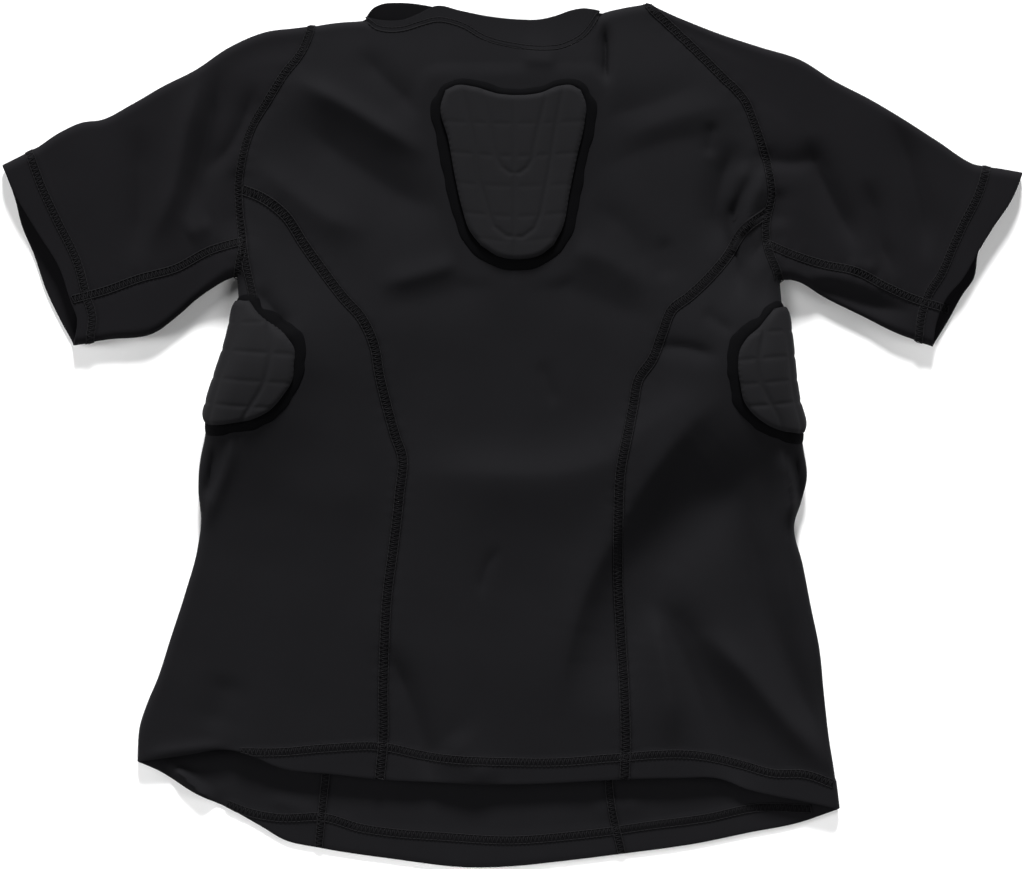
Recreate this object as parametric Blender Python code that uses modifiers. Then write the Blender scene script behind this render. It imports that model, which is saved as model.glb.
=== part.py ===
"""Padded compression shirt laid out flat, front side up.

The shirt lies on z = 0 with its neck toward +Y and the wearer's right sleeve toward -X.
Every cloth piece is a wall grown outward from its inner surface. The back layer lies flat,
the front layer lies over it, and the side panels and sleeves roll round from one to the other.
"""

import math

import bpy
import numpy as np

MM = 0.001

# Cloth and trim sizes in millimetres.
CLOTH = 1.2
HEM_CLOTH = 2.0
HEM_ROWS = 3
SEAM = 0.21
NECK_SEAM = 0.34
BINDING_WIDTH = 8.4
BINDING_RISE = 2.0
LAY_GAP = 0.32
RIB_LAY_GAP = 0.9
CHEST_PAD_RISE = 6.5
RIB_PAD_RISE = 6.0

# Cloth lines seen from above, in millimetres from the middle of the shirt: (x, y).
SIDE_LEFT = [
    (-300, -262), (-298, -233), (-292, -215), (-284, -196), (-274, -165), (-262, -128), (-252, -92),
    (-249, -68), (-251, -45), (-250, -24), (-246, -4), (-243, 12), (-239, 27), (-234, 43),
    (-228, 61), (-222, 82), (-219, 100), (-220, 128),
]
SIDE_RIGHT = [
    (262, -300), (258, -269), (254, -244), (250, -209), (246, -170), (240, -141), (233, -105),
    (226, -72), (232, -52), (236, -34), (233, -11), (230, 8), (225, 26), (222, 45), (220, 66),
    (217, 92), (214, 125),
]
PRINCESS_LEFT = [
    (-106, -276), (-103, -244), (-103, -204), (-102, -168), (-100, -131), (-95, -92), (-90, -48),
    (-88, -16), (-93, -2), (-97, 12), (-106, 48), (-110, 71), (-120, 93), (-135, 110), (-151, 131),
    (-166, 152), (-182, 176), (-201, 190), (-216, 196),
]
PRINCESS_RIGHT = [
    (90, -276), (91, -248), (90, -209), (87, -157), (85, -118), (85, -68), (87, -27), (93, 3),
    (97, 24), (101, 44), (112, 60), (120, 81), (128, 100), (141, 110), (157, 125), (171, 141),
    (186, 164), (205, 178),
]
BACK_PRINCESS_LEFT = [
    (-155, -331), (-150, -280), (-140, -200), (-128, -100), (-122, 0), (-128, 60), (-142, 110),
    (-166, 152), (-200, 186), (-216, 196),
]
BACK_PRINCESS_RIGHT = [
    (88, -336), (80, -300), (78, -200), (80, -100), (86, 0), (104, 50), (130, 96), (171, 146),
    (194, 171), (205, 178),
]
ARMHOLE_LEFT = [
    (-220, 128), (-215, 152), (-217, 176), (-218, 200), (-215, 222), (-208, 244), (-195, 267),
    (-182, 288), (-168, 306), (-160, 326),
]
ARMHOLE_RIGHT = [
    (214, 125), (204, 152), (205, 178), (207, 191), (205, 209), (200, 230), (194, 248), (186, 267),
    (167, 287), (146, 308), (126, 327), (108, 344),
]
FRONT_HEM = [
    (-300, -262), (-260, -256), (-230, -252), (-214, -255), (-185, -267), (-143, -272), (-106, -276),
    (-44, -279), (0, -280), (70, -277), (90, -276), (130, -275), (167, -276), (188, -284),
    (209, -289), (235, -294), (262, -300),
]
BACK_HEM = [
    (-300, -262), (-284, -269), (-253, -288), (-230, -298), (-201, -314), (-182, -325), (-155, -331),
    (-96, -340), (-31, -347), (0, -346), (39, -342), (88, -336), (146, -328), (190, -319),
    (230, -311), (262, -300),
]
FRONT_TOP = [
    (-160, 326), (-140, 329), (-126, 330), (-116, 330), (-108, 325), (-98, 323), (-86, 324), (-73, 328),
    (-60, 331), (-41, 327), (-22, 316), (5, 309), (21, 307), (41, 309), (57, 318), (64, 327),
    (69, 335), (74, 337), (90, 341), (108, 344),
]
BACK_TOP = [
    (-160, 326), (-140, 329), (-126, 330), (-116, 330), (-108, 325), (-95, 321), (-41, 316), (5, 313),
    (41, 314), (57, 321), (64, 328), (69, 335), (74, 337), (90, 341), (108, 344),
]
BAND_FRONT_TOP = [
    (-116, 334), (-108, 332), (-98, 331), (-86, 332), (-76, 336), (-60, 343), (-41, 339), (-22, 335),
    (5, 332), (22, 332), (35, 335), (46, 339), (57, 341), (69, 339.5),
]
BAND_BACK_TOP = [
    (-116, 334), (-112, 341), (-104, 345), (-92, 346), (-76, 345), (-60, 342), (-41, 338), (-22, 334),
    (5, 331), (22, 331), (35, 334), (46, 338), (57, 340), (69, 339.5),
]
SLEEVE_LEFT_TOP = [
    (-160, 326), (-198, 322), (-226, 310), (-253, 292), (-279, 279), (-305, 264), (-329, 252),
    (-344, 250), (-362, 242), (-383, 228), (-408, 215),
]
SLEEVE_LEFT_UNDER = [
    (-220, 128), (-232, 122), (-253, 108), (-269, 94), (-287, 81), (-323, 76), (-351, 72),
]
SLEEVE_RIGHT_TOP = [
    (108, 344), (136, 332), (167, 320), (198, 310), (230, 300), (256, 284), (287, 268), (314, 252),
    (339, 236), (374, 215), (392, 212), (409, 209),
]
SLEEVE_RIGHT_UNDER = [(214, 125), (230, 122), (250, 110), (282, 94), (308, 81), (337, 71)]
CUFF_LEFT_FRONT = [(-408, 215), (-397, 191), (-381, 164), (-362, 133), (-353, 106), (-348, 92), (-351, 72)]
CUFF_LEFT_BACK = [(-408, 215), (-398, 188), (-393, 168), (-383, 144), (-373, 115), (-362, 92), (-351, 72)]
CUFF_RIGHT_FRONT = [
    (409, 209), (400, 188), (384, 164), (373, 146), (361, 125), (347, 108), (339, 87), (337, 71),
]
CUFF_RIGHT_BACK = [
    (409, 209), (400, 188), (384, 164), (374, 147), (370, 125), (361, 112), (350, 92), (337, 71),
]

# Height of the front layer's inner surface up the body: (y, height in the middle, height at the sides).
BODY_HEIGHTS = [
    (-300, 9.5, 9.0), (-260, 10.5, 9.5), (-180, 13.0, 11.0), (-100, 14.5, 13.0), (-60, 15.0, 16.0),
    (-20, 15.5, 24.0), (15, 16.0, 31.0), (55, 17.0, 34.0), (90, 18.5, 30.0), (120, 19.0, 22.0),
    (150, 19.0, 18.0), (200, 19.0, 16.0), (280, 19.0, 15.0), (305, 16.0, 12.5), (326, 12.5, 10.0),
    (346, 11.5, 10.0),
]
CREST_HALF_WIDTH = 66.0

# Rows of the side panels: (share of the way up the side fold, share of the way up the princess seam).
SIDE_ROWS = [
    (0.0, 0.0), (0.011, 0.010), (0.052, 0.048), (0.14, 0.12), (0.24, 0.20), (0.34, 0.285), (0.43, 0.36),
    (0.51, 0.43), (0.58, 0.49), (0.64, 0.545), (0.695, 0.59), (0.745, 0.63), (0.79, 0.665),
    (0.835, 0.705), (0.875, 0.745), (0.915, 0.795), (0.95, 0.86), (0.98, 0.93), (1.0, 1.0),
]

# Largest folds of the front layer: (path, half width, rise; a trough has a negative rise).
FOLDS = [
    ([(-182, 285), (-114, 248), (-66, 216)], 14, 3.2),
    ([(-178, 256), (-138, 224), (-90, 196)], 17, -4.2),
    ([(-118, 308), (-80, 264)], 9, -2.2),
    ([(-10, 126), (-66, 108)], 8, -2.4),
    ([(26, 124), (106, 96)], 8, -2.6),
    ([(62, 181), (106, 120)], 8, -2.4),
    ([(166, 214), (166, 162)], 10, -3.4),
    ([(184, 196), (177, 156), (182, 122)], 9, -4.0),
    ([(-94, -22), (38, -20), (110, 16), (173, 41)], 15, 3.0),
    ([(178, 28), (150, 0), (104, -56)], 24, -4.4),
    ([(110, -136), (150, -192), (179, -278)], 12, -5.0),
    ([(157, -163), (208, -214), (254, -267)], 13, 4.0),
    ([(186, -52), (203, -148), (250, -252)], 11, -4.0),
    ([(-96, -176), (-64, -272)], 9, -2.6),
    ([(-223, -8), (-235, -48), (-242, -84)], 8, -3.4),
    ([(216, -10), (222, -37), (222, -76)], 8, -3.4),
    ([(-247, 288), (-264, 220), (-285, 157)], 10, -3.6),
    ([(205, 220), (240, 222), (272, 158)], 10, -3.4),
    ([(312, 240), (329, 150)], 11, -3.2),
    ([(232, 124), (262, 118), (304, 106)], 7, -3.4),
]

# Rib pad corners and front edge: (y at the side fold, reach of the pad's edge from the fold).
RIB_PAD_LEFT = [
    (107, 8), (98, 13), (87, 27), (77, 42), (69, 50), (59, 53), (46, 56), (35, 53), (22, 46), (15, 36),
    (10, 18),
]
RIB_PAD_RIGHT = [
    (102, 7), (96, 11), (88, 17), (78, 29), (69, 36), (57, 39), (43, 39), (29, 38), (18, 33), (9, 24),
    (3, 12),
]
# How far under the side fold a rib pad's binding reaches, in degrees of the fold's roll.
RIB_BINDING_TURN = 50.0
# Where a rib pad's hidden edge is placed, as shares of the pad's height.
RIB_BACK_SHARES = (0.08, 0.36, 0.64, 0.92)

# Chest pad edge lines: (x, y).
CHEST_PAD_LEFT = [(-25, 151), (-34, 163), (-40, 181), (-46, 208), (-51, 236), (-57, 262), (-53, 275)]
CHEST_PAD_RIGHT = [(33, 151), (40, 164), (46, 193), (52, 222), (58, 249), (59, 264), (55, 275)]
CHEST_PAD_TOP = [
    (-53, 275), (-44, 279), (-32, 278), (-10, 272), (5, 271), (23, 273), (36, 278), (47, 279), (55, 275),
]
CHEST_PAD_BOTTOM = [(-25, 151), (-10, 142), (7, 140), (22, 143), (33, 151)]
# The flat place under the chest pad, taken as a tapered block.
CHEST_BLOCK_LOW, CHEST_BLOCK_HIGH = 140.0, 279.0
CHEST_BLOCK_MIDDLE, CHEST_BLOCK_HALF, CHEST_BLOCK_FLARE = 2.0, 28.0, 30.0
CHEST_FLAT = 19.0
PAD_FLAT_MARGIN = BINDING_WIDTH + 11.0
PAD_FLAT_FADE = 14.0
# Quilting: cells each way, steps in a cell, and the share of the full height in a groove and at the edge.
QUILT_CELLS = 6
QUILT_STEPS = 2
GROOVE_SHARE = 0.60
EDGE_SHARE = 0.36


class Line:
    """A smooth line through the points of a table, read by the share of its length from 0 to 1."""

    def __init__(self, points):
        self.points = np.array(points, float)
        steps = np.linalg.norm(np.diff(self.points, axis=0), axis=1)
        self.length = float(steps.sum())
        self.shares = np.concatenate([[0.0], np.cumsum(steps)]) / self.length
        self.slopes = np.gradient(self.points, self.shares, axis=0)

    def at(self, share):
        share = min(max(share, 0.0), 1.0)
        index = int(min(np.searchsorted(self.shares, share, side="right") - 1, len(self.points) - 2))
        span = self.shares[index + 1] - self.shares[index]
        t = (share - self.shares[index]) / span
        near = self.points[index] * (2 * t**3 - 3 * t**2 + 1)
        near = near + self.slopes[index] * span * (t**3 - 2 * t**2 + t)
        far = self.points[index + 1] * (3 * t**2 - 2 * t**3)
        far = far + self.slopes[index + 1] * span * (t**3 - t**2)
        return near + far

    def where(self, axis, value):
        """The share at which one coordinate of a line that only rises or falls reaches a value."""
        low, high = 0.0, 1.0
        rising = self.points[-1][axis] > self.points[0][axis]
        for _ in range(40):
            middle = (low + high) / 2
            if (self.at(middle)[axis] < value) == rising:
                low = middle
            else:
                high = middle
        return (low + high) / 2


def smooth(value):
    value = min(max(value, 0.0), 1.0)
    return value * value * (3 - 2 * value)


def beside(points, distance, closed=False):
    """Moves a run of plan points to its left by a distance, keeping the run's corners parallel."""
    count = len(points)
    moved = []
    for index, point in enumerate(points):
        before = points[index - 1] if closed or index > 0 else None
        after = points[(index + 1) % count] if closed or index < count - 1 else None
        normals = []
        for start, end in ((before, point), (point, after)):
            if start is None or end is None:
                continue
            step = (end - start) / np.linalg.norm(end - start)
            normals.append(np.array([-step[1], step[0]]))
        normal = sum(normals)
        normal = normal / np.linalg.norm(normal)
        moved.append(point + normal * distance / max(float(np.dot(normal, normals[0])), 0.5))
    return moved


# The height table is read at even steps and smoothed over a reach each way.
READ_STEP = 4.0
SOFT_REACH = 24.0
SOFT_WIDTH = 11.0
HEIGHT_TABLE = np.array(BODY_HEIGHTS, float)
HEIGHT_STEPS = np.arange(-320.0, 370.0, READ_STEP)
SOFTNESS = np.exp(-((np.arange(-SOFT_REACH, SOFT_REACH + 1.0, READ_STEP) / SOFT_WIDTH) ** 2))
SOFTNESS = SOFTNESS / SOFTNESS.sum()


def softened(column):
    """A column of the height table read every few millimetres and smoothed."""
    wide = np.arange(HEIGHT_STEPS[0] - SOFT_REACH, HEIGHT_STEPS[-1] + SOFT_REACH + 1.0, READ_STEP)
    values = np.interp(wide, HEIGHT_TABLE[:, 0], HEIGHT_TABLE[:, column])
    return np.convolve(values, SOFTNESS, mode="valid")[: len(HEIGHT_STEPS)]


MIDDLE_HEIGHTS = softened(1)
SIDE_HEIGHTS = softened(2)
LEFT_LIMIT = np.array(SIDE_LEFT + ARMHOLE_LEFT[1:], float)
RIGHT_LIMIT = np.array(SIDE_RIGHT + ARMHOLE_RIGHT[1:], float)


# How many half widths a fold reaches, and how quickly it fades at its ends.
FOLD_REACH = 2.6
FOLD_END_FADE = 4


def fold_rise(x, y):
    """Sum of the soft ridges and troughs at a place on the front layer."""
    total = 0.0
    place = np.array([x, y], float)
    for path, width, rise in FOLDS:
        points = np.array(path, float)
        lengths = np.linalg.norm(np.diff(points, axis=0), axis=1)
        whole = lengths.sum()
        gone = 0.0
        nearest = None
        for start, end, length in zip(points[:-1], points[1:], lengths):
            along = min(max(float(np.dot(place - start, end - start)) / length**2, 0.0), 1.0)
            distance = float(np.linalg.norm(place - (start + (end - start) * along)))
            if nearest is None or distance < nearest[0]:
                nearest = (distance, (gone + along * length) / whole)
            gone += length
        distance, share = nearest
        if distance < FOLD_REACH * width:
            fade = smooth(min(share, 1 - share) * FOLD_END_FADE + 0.25)
            total += rise * fade * math.exp(-((distance / width) ** 2))
    return total


def outside_chest_pad(x, y):
    """Distance of a place from the chest pad, taken as a tapered block between its corners."""
    taper = min(max((y - CHEST_BLOCK_LOW) / 125.0, 0.0), 1.0)
    across = max(abs(x - CHEST_BLOCK_MIDDLE) - CHEST_BLOCK_HALF - CHEST_BLOCK_FLARE * taper, 0.0)
    return math.hypot(across, max(CHEST_BLOCK_LOW - y, y - CHEST_BLOCK_HIGH, 0.0))


def front_height(x, y, with_folds=True):
    """Height of the front layer's inner surface over the body."""
    middle = float(np.interp(y, HEIGHT_STEPS, MIDDLE_HEIGHTS))
    side = float(np.interp(y, HEIGHT_STEPS, SIDE_HEIGHTS))
    limit = LEFT_LIMIT if x < 0 else RIGHT_LIMIT
    reach = abs(float(np.interp(y, limit[:, 1], limit[:, 0]))) - side / 2 - CREST_HALF_WIDTH
    share = smooth((abs(x) - CREST_HALF_WIDTH) / max(reach, 10.0))
    height = middle + (side - middle) * share
    if with_folds:
        height += fold_rise(x, y)
    under_pad = 1 - smooth((outside_chest_pad(x, y) - PAD_FLAT_MARGIN) / PAD_FLAT_FADE)
    return height + (CHEST_FLAT - height) * under_pad


CLOTH_DARK, CLOTH_ROUGH = (0.0130, 0.0127, 0.0150), 0.82
PAD_DARK, PAD_ROUGH = (0.0185, 0.0180, 0.0195), 0.70
BINDING_DARK, BINDING_ROUGH = (0.0060, 0.0060, 0.0070), 0.80

for item in list(bpy.data.objects):
    bpy.data.objects.remove(item, do_unlink=True)

SHIRT = bpy.data.collections.new("padded_compression_shirt")
bpy.context.scene.collection.children.link(SHIRT)


def make_wall(name, points, faces, up_face, colour, roughness, thickness, weights=None, up=True):
    """Makes a named wall: an open surface in millimetres, grown outward by a Solidify modifier."""
    corners = [np.array(points[i], float) for i in faces[up_face]]
    faces_up = float(np.cross(corners[1] - corners[0], corners[2] - corners[0])[2]) > 0
    if faces_up != up:
        faces = [face[::-1] for face in faces]
    mesh = bpy.data.meshes.new(name)
    mesh.from_pydata([tuple(float(c) * MM for c in point) for point in points], [], faces)
    mesh.update()
    item = bpy.data.objects.new(name, mesh)
    SHIRT.objects.link(item)
    material = bpy.data.materials.new(name + "_finish")
    material.use_nodes = True
    shader = material.node_tree.nodes["Principled BSDF"]
    shader.inputs["Base Color"].default_value = (*colour, 1.0)
    shader.inputs["Roughness"].default_value = roughness
    shader.inputs["Metallic"].default_value = 0.0
    mesh.materials.append(material)
    wall = item.modifiers.new("wall", "SOLIDIFY")
    wall.thickness = thickness * MM
    wall.offset = 1.0
    if weights is not None:
        group = item.vertex_groups.new(name="rise")
        for index, weight in enumerate(weights):
            group.add([index], float(weight), "REPLACE")
        wall.vertex_group = "rise"
    return item


def grid_faces(rows, columns):
    """Faces of a grid of points stored row by row."""
    faces = []
    for row in range(rows - 1):
        for column in range(columns - 1):
            here = row * columns + column
            faces.append((here, here + 1, here + columns + 1, here + columns))
    return faces


def tube_faces(rows, columns):
    """Faces of a grid whose rows are closed rings."""
    faces = []
    for row in range(rows - 1):
        for column in range(columns):
            here, there = row * columns, (row + 1) * columns
            following = (column + 1) % columns
            faces.append((here + column, here + following, there + following, there + column))
    return faces


# Shoulder roll: front and back meet half way up, at the shoulder seam.
SHOULDER_MIDDLE = 5.6
SHOULDER_ROLL = 5.0
NECK_LEFT, NECK_RIGHT = -116.0, 69.0
ROLL_STEPS = 4
FLAT_STEPS = 5
ARM_ROWS = 6
ARMPIT_EASE = 1.15
TURNS = [math.pi / 2 * step / ROLL_STEPS for step in range(ROLL_STEPS + 1)]
SHOULDER_TURNS = [0.0, math.pi / 6, math.pi / 3]


def rolled(distance, height, middle=SHOULDER_MIDDLE):
    """Height of a layer at a distance from the edge where it rolls round to the other layer."""
    turn = min(max(distance / SHOULDER_ROLL, 0.0), 1.0)
    return middle + (height - middle) * math.sqrt(max(1 - (1 - turn) ** 2, 0.0))


def across_stations(width, under_roll, top_roll, junction):
    """Distances across a sleeve layer from the underarm edge: its roll, two flat runs, its top roll."""
    run = [under_roll * (1 - math.cos(turn)) for turn in TURNS]
    run += [under_roll + (junction - under_roll) * step / FLAT_STEPS for step in range(1, FLAT_STEPS + 1)]
    upper = width - top_roll
    run += [junction + (upper - junction) * step / ARM_ROWS for step in range(1, ARM_ROWS + 1)]
    run += [width - top_roll * (1 - math.cos(turn)) for turn in SHOULDER_TURNS[::-1]]
    return run


class Body:
    """Seam stations of one side of the body, shared by the centre panels, side panel and sleeve."""

    def __init__(self, sign, side, princess, back_princess, armhole):
        self.sign = sign
        self.fold = Line(side)
        self.armpit_y, self.hem_y = side[-1][1], side[0][1]
        self.corner_y = princess[-1][1]
        self.princess = {1: self.seam_places(Line(princess)), -1: self.seam_places(Line(back_princess))}
        self.arm = Line(armhole)
        corner_share = self.arm.where(1, self.corner_y)
        self.junction = self.arm.length * corner_share
        probe = self.arm.at(12.0 / self.arm.length)
        self.armpit_top = front_height(probe[0], probe[1])
        self.armpit_roll = (self.armpit_top - CLOTH) / 2
        self.distances = across_stations(self.arm.length, self.armpit_roll, SHOULDER_ROLL, self.junction)
        self.arm_places = [self.arm.at(distance / self.arm.length) for distance in self.distances]
        self.corner_index = len(TURNS) + FLAT_STEPS - 1
        for places in self.princess.values():
            places[-1] = self.arm_places[self.corner_index]

    def seam_places(self, line):
        low = line.points[0][1]
        heights = [low + (self.corner_y - low) * seam_share for _, seam_share in SIDE_ROWS]
        return [line.at(line.where(1, y)) for y in heights]

    def centre_edge(self, layer):
        """The centre panel's edge: up the princess seam and the armhole to the shoulder."""
        run = self.princess[layer] + self.arm_places[self.corner_index + 1:]
        return beside(run, self.sign * SEAM)

    def top_share(self, row):
        """How far up the armhole a centre panel's row stands, from the seam corner to the shoulder."""
        return (self.distances[self.corner_index + row] - self.junction) / (self.arm.length - self.junction)

    def side_edge(self, layer):
        """The side panel's edge along the princess seam."""
        return beside(self.princess[layer], -self.sign * SEAM)

    def armhole_edge(self, toward_body):
        """The armhole seam moved off to one side, more where it passes under the thick of the roll."""
        way = self.sign if toward_body else -self.sign
        near, far = beside(self.arm_places, way * SEAM), beside(self.arm_places, way * (SEAM + ARMPIT_EASE))
        eases = [math.cos(turn) for turn in TURNS] + [0.0] * len(near)
        return [a * (1 - ease) + b * ease for a, b, ease in zip(near, far, eases)]


LEFT = Body(-1, SIDE_LEFT, PRINCESS_LEFT, BACK_PRINCESS_LEFT, ARMHOLE_LEFT)
RIGHT = Body(1, SIDE_RIGHT, PRINCESS_RIGHT, BACK_PRINCESS_RIGHT, ARMHOLE_RIGHT)
TOP_XS = [-160, -140, -124, -116, -112, -98, -86, -73, -58, -40, -20, 2, 24, 42, 56, 64, 69, 74, 90, 108]


def top_offset(line, x, distance):
    """A point of the top edge moved along the edge's own normal."""
    share = line.where(0, x)
    place = line.at(share)
    step = line.at(share + 0.004) - line.at(share - 0.004)
    step = step / np.linalg.norm(step)
    return place + np.array([-step[1], step[0]]) * distance


def centre_panel(name, layer, hem, top):
    """The front or back panel: rows between its two seams, bent to the hem and to the top edge."""
    hem_table = np.array(hem, float)
    top_line = Line(top)
    left, right = LEFT.centre_edge(layer), RIGHT.centre_edge(layer)
    count = len(left)
    shares = [(x - TOP_XS[0]) / (TOP_XS[-1] - TOP_XS[0]) for x in TOP_XS]
    tops = [top_offset(top_line, x, -NECK_SEAM) for x in TOP_XS]
    tops[0], tops[-1] = left[-1], right[-1]
    points, weights = [], []
    for index in range(count):
        start, end = left[index], right[index]
        rise = index / (count - 1)
        body_rows = len(SIDE_ROWS) - 1
        near_hem = (1 - min(index / 5.0, 1.0)) ** 2
        near_top = LEFT.top_share(index - body_rows) if index > body_rows else 0.0
        for column, share in enumerate(shares):
            place = start + (end - start) * share
            straight_hem = left[0] + (right[0] - left[0]) * share
            hem_y = float(np.interp(straight_hem[0], hem_table[:, 0], hem_table[:, 1]))
            straight_top = left[-1] + (right[-1] - left[-1]) * share
            if 0 < column < len(shares) - 1:
                place = place + np.array([0.0, near_hem * (hem_y - straight_hem[1])])
                place = place + near_top * (tops[column] - straight_top)
            x, y = place
            wall = HEM_CLOTH if index < HEM_ROWS else CLOTH
            height = front_height(x, y) if layer == 1 else wall
            if index > body_rows:
                drop = tops[column][1] - y
                inside_neck = min(x - NECK_LEFT, NECK_RIGHT - x)
                height = rolled(max(drop, inside_neck), height, SHOULDER_MIDDLE + layer * SEAM)
            points.append((x, y, height))
            weights.append(wall / HEM_CLOTH)
    faces = grid_faces(count, len(shares))
    return make_wall(name, points, faces, 40, CLOTH_DARK, CLOTH_ROUGH, HEM_CLOTH, weights, up=layer == 1)


centre_panel("front_panel", 1, FRONT_HEM, FRONT_TOP)
centre_panel("back_panel", -1, BACK_HEM, BACK_TOP)


class SidePanel:
    """One side panel: from the front princess seam round the side fold to the back princess seam."""

    def __init__(self, body):
        self.body = body
        self.ends = {1: body.side_edge(1), -1: body.side_edge(-1)}
        self.armhole = body.armhole_edge(True)
        self.hems = {1: np.array(FRONT_HEM, float), -1: np.array(BACK_HEM, float)}
        self.shares = [share for share, _ in SIDE_ROWS]

    def fold_place(self, share):
        body = self.body
        y = body.hem_y + (body.armpit_y - body.hem_y) * share
        return body.fold.at(body.fold.where(1, y)) + np.array([-body.sign * CLOTH, 0.0])

    def level_row(self, fold_y):
        """Fold point and front end of the row that meets the fold at a given y."""
        body = self.body
        share = (fold_y - body.hem_y) / (body.armpit_y - body.hem_y)
        ends = np.array(self.ends[1])
        end = np.array([np.interp(share, self.shares, ends[:, 0]), np.interp(share, self.shares, ends[:, 1])])
        return self.fold_place(share), end

    def roll(self, fold, front_end):
        """Half the gap between the layers at the fold, its middle height and its top."""
        direction = (front_end - fold) / np.linalg.norm(front_end - fold)
        probe = fold + direction * 12.0
        top = front_height(probe[0], probe[1])
        return (top - CLOTH) / 2, (top + CLOTH) / 2, top


def side_panel(name, panel):
    points, weights = [], []
    last = len(SIDE_ROWS) - 1
    for index, (share, _) in enumerate(SIDE_ROWS):
        fold = panel.fold_place(share)
        front_end = panel.ends[1][index]
        radius, middle, top = panel.roll(fold, front_end)
        wall = HEM_CLOTH if index < HEM_ROWS else CLOTH
        halves = {}
        for layer in (1, -1):
            end, hem = panel.ends[layer][index], panel.hems[layer]
            length = float(np.linalg.norm(end - fold))
            distances = [radius * (1 - math.cos(turn)) for turn in TURNS]
            distances += [radius + (length - radius) * step / FLAT_STEPS for step in range(1, FLAT_STEPS + 1)]
            run = []
            for step, distance in enumerate(distances):
                place = fold + (end - fold) * distance / length
                if index == last:
                    place = np.array(panel.armhole[step])
                    top = panel.body.armpit_top
                pull = (1 - min(index / 4.0, 1.0)) ** 2
                start_hem, end_hem = panel.fold_place(0.0), panel.ends[layer][0]
                along = distance / length
                straight = start_hem[1] + (end_hem[1] - start_hem[1]) * along
                x_hem = start_hem[0] + (end_hem[0] - start_hem[0]) * along
                hem_y = float(np.interp(x_hem, hem[:, 0], hem[:, 1]))
                if step < len(distances) - 1:
                    place = place + np.array([0.0, pull * (hem_y - straight)])
                if step < len(TURNS):
                    height = (top + wall) / 2 + layer * (top - wall) / 2 * math.sin(TURNS[step])
                elif layer == 1:
                    part = (step - ROLL_STEPS) / FLAT_STEPS
                    height = front_height(place[0], place[1])
                    height += (top - height) * (1 - smooth(part * 2.0))
                else:
                    height = wall
                run.append((place[0], place[1], height))
            halves[layer] = run
        if index == last:
            for layer in (1, -1):
                x, y, z = halves[layer][-1]
                shift = panel.ends[layer][-1] - panel.body.princess[layer][-1]
                halves[layer][-1] = (x + 2 * shift[0], y + 2 * shift[1], z)
        row = halves[-1][::-1] + halves[1][1:]
        points.extend(row)
        weights.extend([wall / HEM_CLOTH] * len(row))
    columns = 2 * (ROLL_STEPS + FLAT_STEPS) + 1
    faces = grid_faces(len(SIDE_ROWS), columns)
    return make_wall(name, points, faces, columns - 3, CLOTH_DARK, CLOTH_ROUGH, HEM_CLOTH, weights)


SIDES = {"left": SidePanel(LEFT), "right": SidePanel(RIGHT)}
for side, panel in SIDES.items():
    side_panel("side_panel_" + side, panel)

# Stations down a sleeve, as shares of its length; the last two rows hold the turned cuff.
SLEEVE_ROWS = [0.0, 0.07, 0.16, 0.27, 0.39, 0.51, 0.63, 0.75, 0.86, 0.875, 1.0]
CUFF_STATION = 0.87
# Height of a sleeve's top layer at the armhole, its fall to the cuff, and where it leaves the body's height.
SLEEVE_HEIGHT, SLEEVE_DROP, SLEEVE_BLEND = 13.5, 3.5, 0.30


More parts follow.
